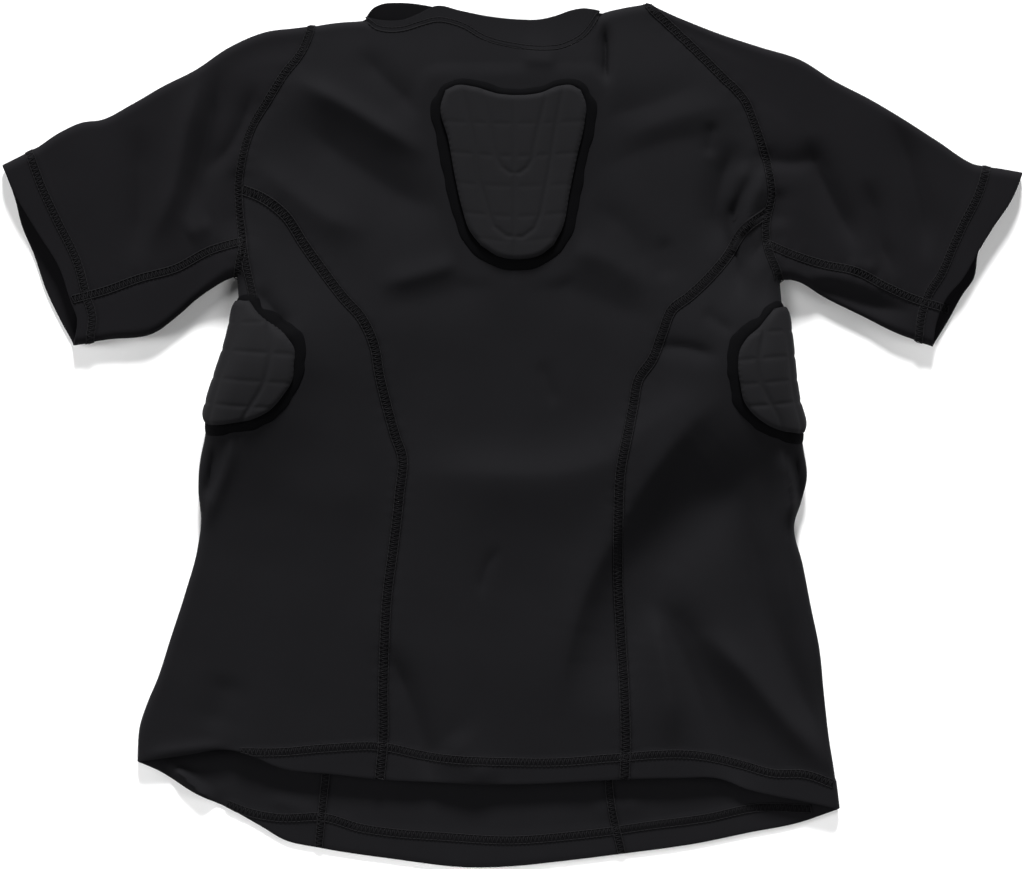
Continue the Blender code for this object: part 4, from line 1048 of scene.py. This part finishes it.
def seam_on(garment, place, u, v, layer=1, closed=False):
    """A seam along a run of a surface's own shares, on the surface's outside."""
    points, normals = surface_path(place, u, v)
    facing = np.sign(normals[FACING_INDEX][2]) * layer
    return Seam(garment, points + normals * facing, normals * facing, closed=closed)


def band(name, seam, width, rise, pitch=2.5, rows=7):
    """A flat seam band laid along a seam, a little higher along its middle."""
    columns = max(int(seam.length / pitch), 8)

    def place(u, v):
        off = (v - 0.5) * width
        lift = 0.12 + rise * (1 - np.abs(2 * v - 1) ** 3)
        points = seam.lay(u * seam.length, off, lift)
        cloth = np.column_stack([u * seam.length, off])
        return points, cloth, np.ones(len(u))

    def outward(sheet):
        middle = len(seam.points) // 2
        place_there = Vector((seam.points[middle] + SHIFT) * MM)
        face = min(sheet.faces, key=lambda one: (one.calc_center_median() - place_there).length)
        return face.normal.dot(Vector(seam.normals[middle]))

    item = grid_mesh(name, columns, rows, place, closed=seam.closed, outward=outward)
    return wall(item, 0.5, offset=-1.0, edge=0.0)


def stitch_count(seam, stitch):
    return max(int(round(seam.length / stitch)), 4)


def needle_runs(seam, half_width, stitch, steps, lifts):
    """Two rows of needle stitches beside a seam, from the steps and lifts of one stitch's thread."""
    count = stitch_count(seam, stitch)
    way = (np.arange(count)[:, None] + steps[None, :]).ravel() * seam.length / count
    rise = np.tile(lifts, count)
    return [seam.lay(way, np.full(len(way), off), rise) for off in (-half_width, half_width)]


def thread_runs(seam, half_width, stitch, lift):
    """Thread lines of a cover stitch: two rows of needle stitches and a looper thread crossing them."""
    runs = needle_runs(seam, half_width, stitch, COVER_STEPS, COVER_LIFTS + lift)
    count = stitch_count(seam, stitch)
    way, off, rise = [], [], []
    for index in range(2 * count + 1):
        side = 1.0 if index % 2 else -1.0
        way.extend([index / 2.0, index / 2.0 + 0.25])
        off.extend([side * half_width, OFF_JOIN])
        rise.extend([lift + 0.10, lift + 0.34])
    way = np.array(way[:-1]) * seam.length / count
    runs.append(seam.lay(way, np.array(off[:-1]), np.array(rise[:-1])))
    return runs


def thread_piece(name, runs, thickness):
    """Thread lines as one mesh of thin round cords, closed at their ends."""
    lines = bpy.data.curves.new(name, "CURVE")
    lines.dimensions = "3D"
    lines.bevel_depth = thickness * MM / 2
    lines.bevel_resolution = 0
    lines.use_fill_caps = True
    for run in runs:
        spline = lines.splines.new("POLY")
        spline.points.add(len(run) - 1)
        placed = (run + SHIFT) * MM
        spline.points.foreach_set("co", np.column_stack([placed, np.ones(len(run))]).ravel())
        spline.use_smooth = True
    carrier = bpy.data.objects.new(name, lines)
    bpy.context.scene.collection.objects.link(carrier)
    graph = bpy.context.evaluated_depsgraph_get()
    mesh = bpy.data.meshes.new_from_object(carrier.evaluated_get(graph))
    bpy.data.objects.remove(carrier)
    bpy.data.curves.remove(lines)
    mesh.name = name
    item = bpy.data.objects.new(name, mesh)
    bpy.context.scene.collection.objects.link(item)
    return item


class Ring:
    """A closed smooth line round a pad, run counter-clockwise."""

    def __init__(self, lines, soft=3.0):
        shares = np.linspace(0.0, 1.0, 120, endpoint=False)
        run = np.vstack([line.at(shares if forward else 1 - shares) for line, forward in lines])
        whole = np.vstack([run, run[:1]])
        lengths = lengths_along(whole)
        self.length = float(lengths[-1])
        even = np.arange(int(self.length * 2)) / int(self.length * 2) * self.length
        run = read_columns(even, lengths, whole)
        reach = np.arange(-20, 21) / 2.0
        weights = np.exp(-((reach / soft) ** 2))
        weights = weights / weights.sum()
        padded = np.vstack([run[-20:], run, run[:20]])
        softened_run = [np.convolve(column, weights, mode="valid") for column in padded.T]
        self.points = np.column_stack(softened_run)
        step = np.roll(self.points, -1, axis=0) - np.roll(self.points, 1, axis=0)
        step = step / np.linalg.norm(step, axis=1, keepdims=True)
        self.outward = np.column_stack([step[:, 1], -step[:, 0]])

    def at(self, share, out):
        index = np.asarray(share, float) % 1.0 * len(self.points)
        low = np.floor(index).astype(int) % len(self.points)
        high = (low + 1) % len(self.points)
        part = (index - np.floor(index))[:, None]
        place = self.points[low] * (1 - part) + self.points[high] * part
        way = self.outward[low] * (1 - part) + self.outward[high] * part
        return place + way * np.asarray(out)[:, None]

    def inside(self, place):
        """Distance of places inside the ring from it."""
        distance = np.full(len(place), 1e9)
        for start in range(0, len(self.points), 3):
            distance = np.minimum(distance, np.linalg.norm(place - self.points[start], axis=1))
        return distance


class Pad:
    """A pad in its own plan: four edge lines, the grooves pressed in it and how it lies on the shirt."""

    def __init__(self, bottom, right, top, left, grooves, lay, top_narrowing=0.0):
        self.lines = (bottom, right, top, left)
        self.top_y = float(top.points[:, 1].min())
        self.top_narrowing = top_narrowing
        self.ring = Ring([(bottom, True), (right, True), (top, False), (left, False)])
        self.grooves = [(depth, bent(path, 24)) for depth, path in grooves]
        self.lay = lay

    def inner(self, u, v):
        bottom, right, top, left = self.lines
        sides = left.at(v) * (1 - u)[:, None] + right.at(v) * u[:, None]
        ends = bottom.at(u) * (1 - v)[:, None] + top.at(u) * v[:, None]
        low = bottom.at(0.0) * (1 - u)[:, None] + bottom.at(1.0) * u[:, None]
        high = top.at(0.0) * (1 - u)[:, None] + top.at(1.0) * u[:, None]
        return sides + ends - low * (1 - v)[:, None] - high * v[:, None]

    def rise(self, place, groove_width, groove_depth, edge_round=4.5):
        """Share of the pad's full height: rounded at the edge, pressed in along the grooves."""
        pressed_in = np.zeros(len(place))
        for depth, path in self.grooves:
            away = np.abs(along_path(path, place)[0])
            groove = (1 - GROOVE_SHOULDER) * np.exp(-((away / groove_width) ** 2))
            groove += GROOVE_SHOULDER * (1 - smooth(away / GROOVE_SHOULDER_REACH))
            pressed_in = np.maximum(pressed_in, depth * groove)
        edge = np.clip(self.ring.inside(place) / edge_round, 0.0, 1.0)
        round_edge = PAD_EDGE_LEAST + (1 - PAD_EDGE_LEAST) * np.sqrt(1 - (1 - edge) ** 2)
        return round_edge * (1 - groove_depth * pressed_in)


def chest_pad_form():
    level = CHEST_FLAT + CLOTH + CHEST_LAY

    def lay(place, lift):
        return np.column_stack([place, level + lift])

    return Pad(Line(CHEST_PAD_BOTTOM), Line(CHEST_PAD_RIGHT), Line(CHEST_PAD_TOP), Line(CHEST_PAD_LEFT),
               CHEST_GROOVES, lay, top_narrowing=CHEST_TOP_NARROWING)


def rib_pad_form(side, table, grooves):
    """A rib pad in a plan of (way round from the side fold, y at the fold)."""
    height = side.armpit_y - side.hem_y

    def radius_at(fold_y):
        share = np.array([(fold_y - side.hem_y) / height])
        return float(side_row(side, share)[3][0])

    front = []
    for fold_y, reach in table:
        radius = radius_at(fold_y)
        turned = radius * math.acos(max(1 - reach / radius, 0.0)) if reach < radius else 0.0
        front.append((turned or radius * math.pi / 2 + reach - radius, fold_y))
    low_y, high_y = table[-1][0], table[0][0]
    back = []
    for share in (0.08, 0.36, 0.64, 0.92):
        fold_y = low_y + (high_y - low_y) * share
        back.append((BINDING_WIDTH - math.radians(RIB_BINDING_TURN) * radius_at(fold_y), fold_y))
    low_middle = ((back[0][0] + front[-1][0]) / 2, low_y - 2.0)
    high_middle = ((back[-1][0] + front[0][0]) / 2, high_y + 2.0)

    def lay(place, lift):
        share = (place[:, 1] - side.hem_y) / height
        return side_place(side, share, 1, place[:, 0], CLOTH + RIB_LAY + lift)[0]

    return Pad(Line([back[0], low_middle, front[-1]]), Line(front[::-1]),
               Line([back[-1], high_middle, front[0]]), Line(back), grooves, lay,
               top_narrowing=RIB_TOP_NARROWING)


def pad_foam(name, pad, pitch, rise, groove_width, groove_depth):
    """The quilted pad: a base laid on the shirt, grown out to a crowned top with pressed grooves."""
    bottom, right, _, _ = pad.lines
    columns, rows = int(bottom.length / pitch * 1.5), int(right.length / pitch)

    def place(u, v):
        plan = pad.inner(u, v)
        return pad.lay(plan, np.zeros(len(u))), plan.copy(), pad.rise(plan, groove_width, groove_depth)

    item = grid_mesh(name, columns, rows, place)
    return wall(item, rise, edge=0.0)


def pad_tape(name, pad):
    """The flat tape round a pad: thick beside the pad, thin where it meets the shirt."""
    columns = int(pad.ring.length / 1.6)
    section = np.array(TAPE_SECTION)

    def place(u, v):
        way = u * 2 * math.pi
        uneven = 0.45 * np.sin(5 * way + 0.7) + 0.35 * np.sin(11 * way + 2.1) + 0.25 * np.sin(23 * way)
        past_top = pad.ring.at(u, np.zeros(len(u)))[:, 1] - pad.top_y
        narrow = pad.top_narrowing * smooth((past_top + TAPE_NARROWS_OVER) / TAPE_NARROWS_OVER)
        plan = pad.ring.at(u, -TAPE_UNDER + v * (BINDING_WIDTH + TAPE_PAST + uneven - narrow))
        cloth = np.column_stack([u * pad.ring.length, v * BINDING_WIDTH])
        return pad.lay(plan, np.zeros(len(u))), cloth, np.interp(v, section[:, 0], section[:, 1])

    item = grid_mesh(name, columns, 8, place, closed=True)
    return wall(item, TAPE_RISE, edge=0.0)


class Socket:
    """A shader value that can be added and multiplied; each step adds its Math node."""

    def __init__(self, finish, socket):
        self.finish = finish
        self.socket = socket

    def maths(self, operation, other):
        return self.finish.node("ShaderNodeMath", {"operation": operation}, {0: self, 1: other})

    def __add__(self, other):
        return self.maths("ADD", other)

    def __mul__(self, other):
        return self.maths("MULTIPLY", other)

    __radd__ = __add__
    __rmul__ = __mul__

    def sine(self):
        return self.maths("SINE", 0.0)


class Finish:
    """A material being made: its shader and the nodes that feed it."""

    def __init__(self, name, **constants):
        self.material = bpy.data.materials.new(name)
        self.material.use_nodes = True
        self.tree = self.material.node_tree
        self.shader = self.tree.nodes["Principled BSDF"]
        for key, value in constants.items():
            self.shader.inputs[key.replace("_", " ")].default_value = value

    def node(self, kind, settings, inputs, output=0):
        """A node of a type: its settings first, then the values or links of its sockets."""
        made = self.tree.nodes.new(kind)
        for key, value in settings.items():
            setattr(made, key, value)
        for key, value in inputs.items():
            if isinstance(value, Socket):
                self.tree.links.new(value.socket, made.inputs[key])
            else:
                made.inputs[key].default_value = value
        return Socket(self, made.outputs[output])

    def feed(self, name, value):
        self.tree.links.new(value.socket, self.shader.inputs[name])

    def blend(self, share, first, second):
        """A colour between two others."""
        return self.node("ShaderNodeMix", {"data_type": "RGBA"},
                         {0: share, 6: (*first, 1.0), 7: (*second, 1.0)}, output=2)

    def noise(self, place, scale, detail):
        return self.node("ShaderNodeTexNoise", {},
                         {"Vector": place, "Scale": scale, "Detail": detail, "Roughness": 0.55})

    def cloth_place(self):
        return self.node("ShaderNodeUVMap", {"uv_map": "cloth"}, {})

    def object_place(self):
        return self.node("ShaderNodeTexCoord", {}, {}, output=3)

    def parts(self, place):
        """The first two of a place's coordinates."""
        first = self.node("ShaderNodeSeparateXYZ", {}, {"Vector": place})
        return first, Socket(self, first.socket.node.outputs[1])

    def bump(self, height, strength, distance):
        inputs = {"Strength": strength, "Distance": distance, "Height": height}
        self.feed("Normal", self.node("ShaderNodeBump", {}, inputs))


def knit_finish(name, colour, wale=0.00095, course=0.00080, nap=0.033, rough=0.82, gloss=0.030):
    """Fine stretch knit: columns of small loops, a soft nap and slight mottling."""
    finish = Finish(name, Sheen_Weight=nap, Sheen_Roughness=0.30, Sheen_Tint=(0.62, 0.61, 0.68, 1.0),
                    Specular_IOR_Level=gloss, Metallic=0.0)
    place = finish.cloth_place()
    across, along = finish.parts(place)
    columns = (across * (2 * math.pi / wale)).sine()
    loops = (along * (2 * math.pi / course) + columns * 0.9).sine()
    knit = columns * 0.55 + loops * 0.45
    body = finish.object_place()
    mottle = finish.noise(body, 26.0, 4.0)
    grain = finish.noise(body, 900.0, 2.0)
    share = mottle * 0.55 + grain * 0.30 + knit * 0.10 + 0.02
    dark = tuple(part * 0.80 for part in colour)
    light = tuple(part * 1.22 for part in colour)
    finish.feed("Base Color", finish.blend(share, dark, light))
    finish.feed("Roughness", mottle * 0.14 + (rough - 0.07))
    finish.bump(knit * 0.6 + grain * 0.8, 0.35, 0.00012)
    return finish.material


def thread_finish(name, colour):
    """Twisted sewing thread."""
    finish = Finish(name, Sheen_Weight=0.008, Sheen_Roughness=0.4, Specular_IOR_Level=0.038)
    twist = finish.noise(finish.object_place(), 1400.0, 2.0)
    dark = tuple(part * 0.75 for part in colour)
    light = tuple(part * 1.30 for part in colour)
    finish.feed("Base Color", finish.blend(twist, dark, light))
    finish.feed("Roughness", twist * 0.2 + 0.50)
    return finish.material


def floor_finish(name, colour):
    """Plain pale board with a faint tooth."""
    finish = Finish(name, Specular_IOR_Level=0.1, Roughness=0.9)
    tooth = finish.noise(finish.object_place(), 40.0, 4.0)
    finish.feed("Base Color", finish.blend(tooth, tuple(part * 0.995 for part in colour), colour))
    return finish.material


def complete(item, material, slot, *nodes):
    """Finishes a piece: its material, what carries it and the nodes it stands for. The slot is not used.
    """
    item.data.materials.clear()
    item.data.materials.append(material)
    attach(item, "root")
    if nodes:
        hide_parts(*nodes)
    return item


def knit(name):
    """One of the knits, made at its first use."""
    colour, differences = KNITS[name]
    look = bpy.context.scene.shirt_finish
    made = bpy.data.materials.get(name)
    return made or knit_finish(name, tuple(getattr(look, colour)), **differences)


def thread():
    """The sewing thread, made at its first use."""
    name, look = "sewing_thread", bpy.context.scene.shirt_finish
    return bpy.data.materials.get(name) or thread_finish(name, tuple(look.thread_colour))


def grid_counts(cut):
    """Even columns and rows of a cut's grid, from its size and the cloth step."""
    width, length, coarse = CUTS[cut]
    step = bpy.context.scene.shirt_sizes.cloth_step / MM * coarse
    return int(width / step) // 2 * 2, int(length / step)


def finish_cloth(item, thickness, knit_name, node):
    """Gives a cloth piece its thickness and knit, and reads the size of its cut without keeping it."""
    complete(wall(item, thickness), knit(knit_name), "shirt_knit", node)
    declare_cloth(item)


def finish_threads(name, runs):
    """Makes the threads of a group of seams one piece."""
    thickness = bpy.context.scene.shirt_sizes.thread / MM
    complete(thread_piece(name, runs, thickness), thread(), "binding_tape")


class ShirtSizes(bpy.types.PropertyGroup):
    """Sizes of the cloth, seams and pads."""

    cloth_step: FloatProperty(
        name="Cloth step", description="Size of one square of the cloth surface",
        default=0.0025, min=0.0015, unit="LENGTH")
    seam_band: FloatProperty(
        name="Seam band", description="Width of the flat seams", default=0.0092, unit="LENGTH")
    hem_band: FloatProperty(
        name="Hem band", description="Width of the hem's cover stitch", default=0.0062, unit="LENGTH")
    stitch: FloatProperty(
        name="Stitch", description="Length of one stitch", default=0.0034, unit="LENGTH")
    thread: FloatProperty(
        name="Thread", description="Thickness of the sewing thread", default=0.00060, unit="LENGTH")
    chest_pad_rise: FloatProperty(
        name="Chest pad", description="Height of the chest pad", default=0.0065, unit="LENGTH")
    rib_pad_rise: FloatProperty(
        name="Rib pads", description="Height of the rib pads", default=0.0060, unit="LENGTH")
    groove_width: FloatProperty(
        name="Groove", description="Half width of the grooves pressed in the pads",
        default=0.0018, unit="LENGTH")
    chest_groove: FloatProperty(
        name="Chest groove", description="Depth of the chest pad's grooves as a share of the pad",
        default=0.11, min=0.0, max=0.8, subtype="FACTOR")
    rib_groove: FloatProperty(
        name="Rib groove", description="Depth of the rib pads' grooves as a share of the pad",
        default=0.19, min=0.0, max=0.8, subtype="FACTOR")


class ShirtFinish(bpy.types.PropertyGroup):
    """Colours of the cloth, tape, thread and floor."""

    knit_colour: FloatVectorProperty(
        name="Knit", description="Colour of the stretch knit", subtype="COLOR", size=3,
        default=(0.0059, 0.0058, 0.0066), min=0.0, max=1.0)
    # Sleeve colour: darker than the body's knit as painted shade.
    sleeve_shaded_colour: FloatVectorProperty(
        name="Sleeves", description="Colour of the sleeves' knit", subtype="COLOR", size=3,
        default=(0.0053, 0.0051, 0.0059), min=0.0, max=1.0)
    # Pad colour: partly the pad cloth's own lighter tone, partly painted light for the brightly lit rib
    # pads.
    pad_colour_with_painted_light: FloatVectorProperty(
        name="Pads", description="Colour of the pads' cloth", subtype="COLOR", size=3,
        default=(0.0077, 0.0076, 0.0084), min=0.0, max=1.0)
    # Tape colour: the tape's own dark colour, with painted shade of the recess it lies in.
    tape_colour: FloatVectorProperty(
        name="Tape", description="Colour of the tape round the pads", subtype="COLOR", size=3,
        default=(0.0019, 0.0019, 0.0022), min=0.0, max=1.0)
    seam_colour: FloatVectorProperty(
        name="Seams", description="Colour of the flat seams and hems", subtype="COLOR", size=3,
        default=(0.0036, 0.0035, 0.0040), min=0.0, max=1.0)
    thread_colour: FloatVectorProperty(
        name="Thread", description="Colour of the sewing thread", subtype="COLOR", size=3,
        default=(0.0082, 0.0080, 0.0088), min=0.0, max=1.0)
    floor_colour: FloatVectorProperty(
        name="Floor", description="Colour of the floor", subtype="COLOR", size=3,
        default=(0.96, 0.96, 0.96), min=0.0, max=1.0)
    light: FloatProperty(
        name="Light", description="Strength in watts that each lamp takes its share of",
        default=560.0, min=0.0)
    sky: FloatProperty(
        name="Sky", description="Strength of the light from all round", default=0.085, min=0.0)
    quilt_cells: IntProperty(
        name="Quilt fineness", description="Squares of the pad surface per 10 mm",
        default=9, min=4, max=12)


class SHIRT_OT_front(bpy.types.Operator):
    """Builds the front panel"""

    bl_idname = "shirt.front"
    bl_label = "Front panel"

    def execute(self, context):
        columns, rows = grid_counts("front")
        item = grid_mesh("front_cloth", columns, rows, lambda u, v: centre_place(1, u, v))
        finish_cloth(item, HEM_CLOTH, "stretch_knit", "front_panel")
        return {"FINISHED"}


class SHIRT_OT_back(bpy.types.Operator):
    """Builds the back panel, the lower layer"""

    bl_idname = "shirt.back"
    bl_label = "Back panel"

    def execute(self, context):
        columns, rows = grid_counts("back")
        item = grid_mesh("back_cloth", columns, rows, lambda u, v: centre_place(-1, u, v),
                         outward=faces_down)
        finish_cloth(item, HEM_CLOTH, "stretch_knit", "back_panel")
        return {"FINISHED"}


class SHIRT_OT_sides(bpy.types.Operator):
    """Builds the two side panels, which wrap round from the front to the back"""

    bl_idname = "shirt.sides"
    bl_label = "Side panels"

    def execute(self, context):
        columns, rows = grid_counts("side")
        for name, side in SIDES.items():
            item = grid_mesh("side_cloth_" + name, columns, rows,
                             lambda u, v, side=side: side_cloth_place(side, u, v))
            finish_cloth(item, HEM_CLOTH, "stretch_knit", "side_panel_" + name)
        return {"FINISHED"}


class SHIRT_OT_sleeves(bpy.types.Operator):
    """Builds the two sleeves"""

    bl_idname = "shirt.sleeves"
    bl_label = "Sleeves"

    def execute(self, context):
        columns, rows = grid_counts("sleeve")
        for name in SLEEVES:
            item = grid_mesh("sleeve_cloth_" + name, columns, rows,
                             lambda u, v, name=name: sleeve_place(name, u, v), closed=True)
            finish_cloth(item, HEM_CLOTH, "sleeve_knit", "sleeve_" + name)
        return {"FINISHED"}


class SHIRT_OT_neckband(bpy.types.Operator):
    """Builds the neckband"""

    bl_idname = "shirt.neckband"
    bl_label = "Neckband"

    def execute(self, context):
        item = grid_mesh("neck_cloth", 240, 10, neck_place, closed=True)
        finish_cloth(item, CLOTH, "stretch_knit", "neckband")
        # The band's inner face takes the darker seam knit as painted shade inside the collar.
        item.data.materials.append(knit("flat_seam"))
        item.modifiers["thickness"].material_offset = 1
        return {"FINISHED"}


class SHIRT_OT_pads(bpy.types.Operator):
    """Builds the quilted chest and rib pads and the tape round them"""

    bl_idname = "shirt.pads"
    bl_label = "Pads"

    def execute(self, context):
        sizes, look = context.scene.shirt_sizes, context.scene.shirt_finish
        pitch, groove = 10.0 / look.quilt_cells, sizes.groove_width / MM
        chest, ribs = (sizes.chest_pad_rise, sizes.chest_groove), (sizes.rib_pad_rise, sizes.rib_groove)
        pads = {
            "chest_pad": (chest_pad_form(), chest),
            "rib_pad_left": (rib_pad_form(LEFT, RIB_PAD_LEFT, RIB_GROOVES_LEFT), ribs),
            "rib_pad_right": (rib_pad_form(RIGHT, RIB_PAD_RIGHT, RIB_GROOVES_RIGHT), ribs),
        }
        for name, (pad, (rise, depth)) in pads.items():
            foam = pad_foam(name + "_foam", pad, pitch, rise / MM, groove, depth)
            complete(foam, knit("pad_cover"), "pad_fabric", name)
            strip = pad_tape(name + "_tape", pad)
            complete(strip, knit("seam_tape"), "binding_tape", name.replace("pad", "pad_binding"))
        return {"FINISHED"}


def seam_lines(garment):
    """The seams that join the panels, by name: on the front, underneath and inside the back hem."""
    shares = np.linspace(0.0, 1.0, SEAM_POINTS)
    seams = {}
    for name, side in SIDES.items():
        plan = side.princess[1].at(shares)
        seams["front_princess_" + name] = seam_over(
            garment, plan, front_height(plan) + CLOTH, UP, above=14.0, below=11.0)
        plan = side.princess[-1].at(shares)
        seams["back_princess_" + name] = seam_over(garment, plan, UNDER_GAP, DOWN)
        plan = side.princess[-1].at(shares * INSIDE_SEAM_SHARE)
        seams["inside_" + name] = seam_over(garment, plan, UNDER_GAP + HEM_CLOTH, UP, below=1.5)
        for layer, word in ((1, "front"), (-1, "back")):
            seams[word + "_armhole_" + name] = seam_on(
                garment, lambda u, v, layer=layer, name=name: sleeve_half(name, layer, u, v)[0],
                shares, np.zeros(SEAM_POINTS), layer)
    for name, path in (("underarm_left", UNDERARM_LEFT), ("underarm_right", UNDERARM_RIGHT),
                       ("armpit_left", ARMPIT_SEAM)):
        seams[name] = seam_over(garment, Line(path).at(shares), 16.0, UP, above=14.0, below=14.0)
    return seams


class SHIRT_OT_seams(bpy.types.Operator):
    """Lays the flat seams and their stitches along the joins of the panels"""

    bl_idname = "shirt.seams"
    bl_label = "Flat seams"

    def execute(self, context):
        sizes = context.scene.shirt_sizes
        width, stitch = sizes.seam_band / MM, sizes.stitch / MM
        runs = {"front": [], "back": []}
        for name, seam in seam_lines(Garment(BODY_CLOTH)).items():
            wide = width if "princess" in name else width * 0.8
            layer = "back" if name.startswith("back") else "front"
            strip = band("seam_" + name, seam, wide, BAND_RISE[layer])
            complete(strip, knit("flat_seam"), "binding_tape")
            runs[layer].extend(thread_runs(seam, wide * 0.40, stitch, BAND_RISE[layer] + 0.12))
        for layer, lines in runs.items():
            finish_threads("seam_threads_" + layer, lines)
        return {"FINISHED"}


def hem_seams(garment):
    """Hem stitch lines: on the front, on the inside of the back and on its underside."""
    shares = np.linspace(0.0, 1.0, HEM_POINTS)
    seams = {}
    for name, layer, normal in (("front", 1, UP), ("back_inside", -1, UP), ("back", -1, DOWN)):
        plan = STITCHES[layer].at(shares) - np.array([0.0, HEM_STITCH_DROP])
        heights = {"back_inside": UNDER_GAP + HEM_CLOTH, "back": UNDER_GAP}
        height = front_height(plan) + HEM_CLOTH if name == "front" else heights[name]
        seams[name] = seam_over(garment, plan, height, normal)
    return seams


class SHIRT_OT_hems(bpy.types.Operator):
    """Lays the cover stitches of the hem, the cuffs and the neckband"""

    bl_idname = "shirt.hems"
    bl_label = "Hem stitches"

    def execute(self, context):
        sizes = context.scene.shirt_sizes
        garment = Garment((*BODY_CLOTH, "neck_cloth"))
        half, stitch = sizes.hem_band / MM / 2, sizes.stitch / MM
        runs = []
        for name, seam in hem_seams(garment).items():
            rise = BAND_RISE["back"] if name == "back" else 0.10
            strip = band("hem_" + name, seam, half * 2 + 1.0, rise)
            complete(strip, knit("flat_seam"), "binding_tape")
            runs.extend(thread_runs(seam, half, stitch, rise + 0.16))
        finish_threads("hem_threads", runs)
        runs = []
        around = np.linspace(0.0, 1.0, HEM_POINTS)[:-1]
        for name in SLEEVES:
            seam = seam_on(garment, lambda u, v, name=name: sleeve_place(name, u, v)[0],
                           around, np.full(len(around), CUFF_STITCH_SHARE), closed=True)
            complete(band("cuff_" + name, seam, half * 2, 0.06), knit("sleeve_knit"), "shirt_knit")
            runs.extend(thread_runs(seam, half, stitch, 0.28))
        finish_threads("cuff_threads", runs)
        seam = seam_on(garment, lambda u, v: neck_place(u, v)[0],
                       around, np.full(len(around), NECK_SEAM_SHARE), closed=True)
        complete(band("neck_seam", seam, 4.0, 0.06), knit("stretch_knit"), "shirt_knit")
        finish_threads("neck_threads", needle_runs(seam, 1.7, stitch, PLAIN_STEPS, PLAIN_LIFTS + 0.22))
        return {"FINISHED"}


class SHIRT_OT_stage(bpy.types.Operator):
    """Sets the floor, the lights and the camera straight above the shirt"""

    bl_idname = "shirt.stage"
    bl_label = "Stage"

    def execute(self, context):
        scene, look = context.scene, context.scene.shirt_finish
        board = bmesh.new()
        bmesh.ops.create_grid(board, x_segments=1, y_segments=1, size=FLOOR_HALF_WIDTH)
        mesh = bpy.data.meshes.new("floor")
        board.to_mesh(mesh)
        board.free()
        floor = bpy.data.objects.new("floor", mesh)
        scene.collection.objects.link(floor)
        mesh.materials.append(floor_finish("pale_board", tuple(look.floor_colour)))
        world = bpy.data.worlds.new("studio")
        world.use_nodes = True
        sky = world.node_tree.nodes["Background"]
        sky.inputs["Color"].default_value = (1.0, 1.0, 1.0, 1.0)
        sky.inputs["Strength"].default_value = look.sky
        scene.world = world
        for name, place, size, share in LAMPS:
            lamp = bpy.data.lights.new(name, "AREA")
            lamp.shape = "DISK"
            lamp.size = size
            lamp.energy = look.light * share
            holder = bpy.data.objects.new(name, lamp)
            holder.location = place
            holder.rotation_euler = (-Vector(place)).to_track_quat("-Z", "Y").to_euler()
            scene.collection.objects.link(holder)
        eye = bpy.data.cameras.new("overhead_view")
        camera = bpy.data.objects.new("overhead_view", eye)
        eye.lens = eye.sensor_width * (CAMERA_HEIGHT - CLOTH_LEVEL) / VIEW_WIDTH
        eye.clip_end = 30.0
        camera.location = (SHIFT[0] * MM, SHIFT[1] * MM, CAMERA_HEIGHT)
        scene.collection.objects.link(camera)
        scene.camera = camera
        scene.view_settings.view_transform = "Standard"
        return {"FINISHED"}


STEPS = (SHIRT_OT_stage, SHIRT_OT_back, SHIRT_OT_front, SHIRT_OT_sides, SHIRT_OT_sleeves,
         SHIRT_OT_neckband, SHIRT_OT_pads, SHIRT_OT_seams, SHIRT_OT_hems)


class SHIRT_PT_build(bpy.types.Panel):
    """Lists the shirt's pieces and their sizes"""

    bl_label = "Padded shirt"
    bl_space_type = "VIEW_3D"
    bl_region_type = "UI"
    bl_category = "Shirt"

    def draw(self, context):
        scene = context.scene
        for step in STEPS:
            self.layout.operator(step.bl_idname)
        for group in (scene.shirt_sizes, scene.shirt_finish):
            box = self.layout.box()
            for key in group.bl_rna.properties.keys():
                if key not in ("rna_type", "name"):
                    box.prop(group, key)


CLASSES = (ShirtSizes, ShirtFinish, *STEPS, SHIRT_PT_build)


def register():
    for one in CLASSES:
        bpy.utils.register_class(one)
    bpy.types.Scene.shirt_sizes = PointerProperty(type=ShirtSizes)
    bpy.types.Scene.shirt_finish = PointerProperty(type=ShirtFinish)


def unregister():
    del bpy.types.Scene.shirt_sizes
    del bpy.types.Scene.shirt_finish
    for one in reversed(CLASSES):
        bpy.utils.unregister_class(one)


def main():
    register()
    bpy.ops.shirt.stage()
    bpy.ops.shirt.back()
    bpy.ops.shirt.front()
    bpy.ops.shirt.sides()
    bpy.ops.shirt.sleeves()
    bpy.ops.shirt.neckband()
    bpy.ops.shirt.pads()
    bpy.ops.shirt.seams()
    bpy.ops.shirt.hems()


if __name__ == "__main__":
    main()
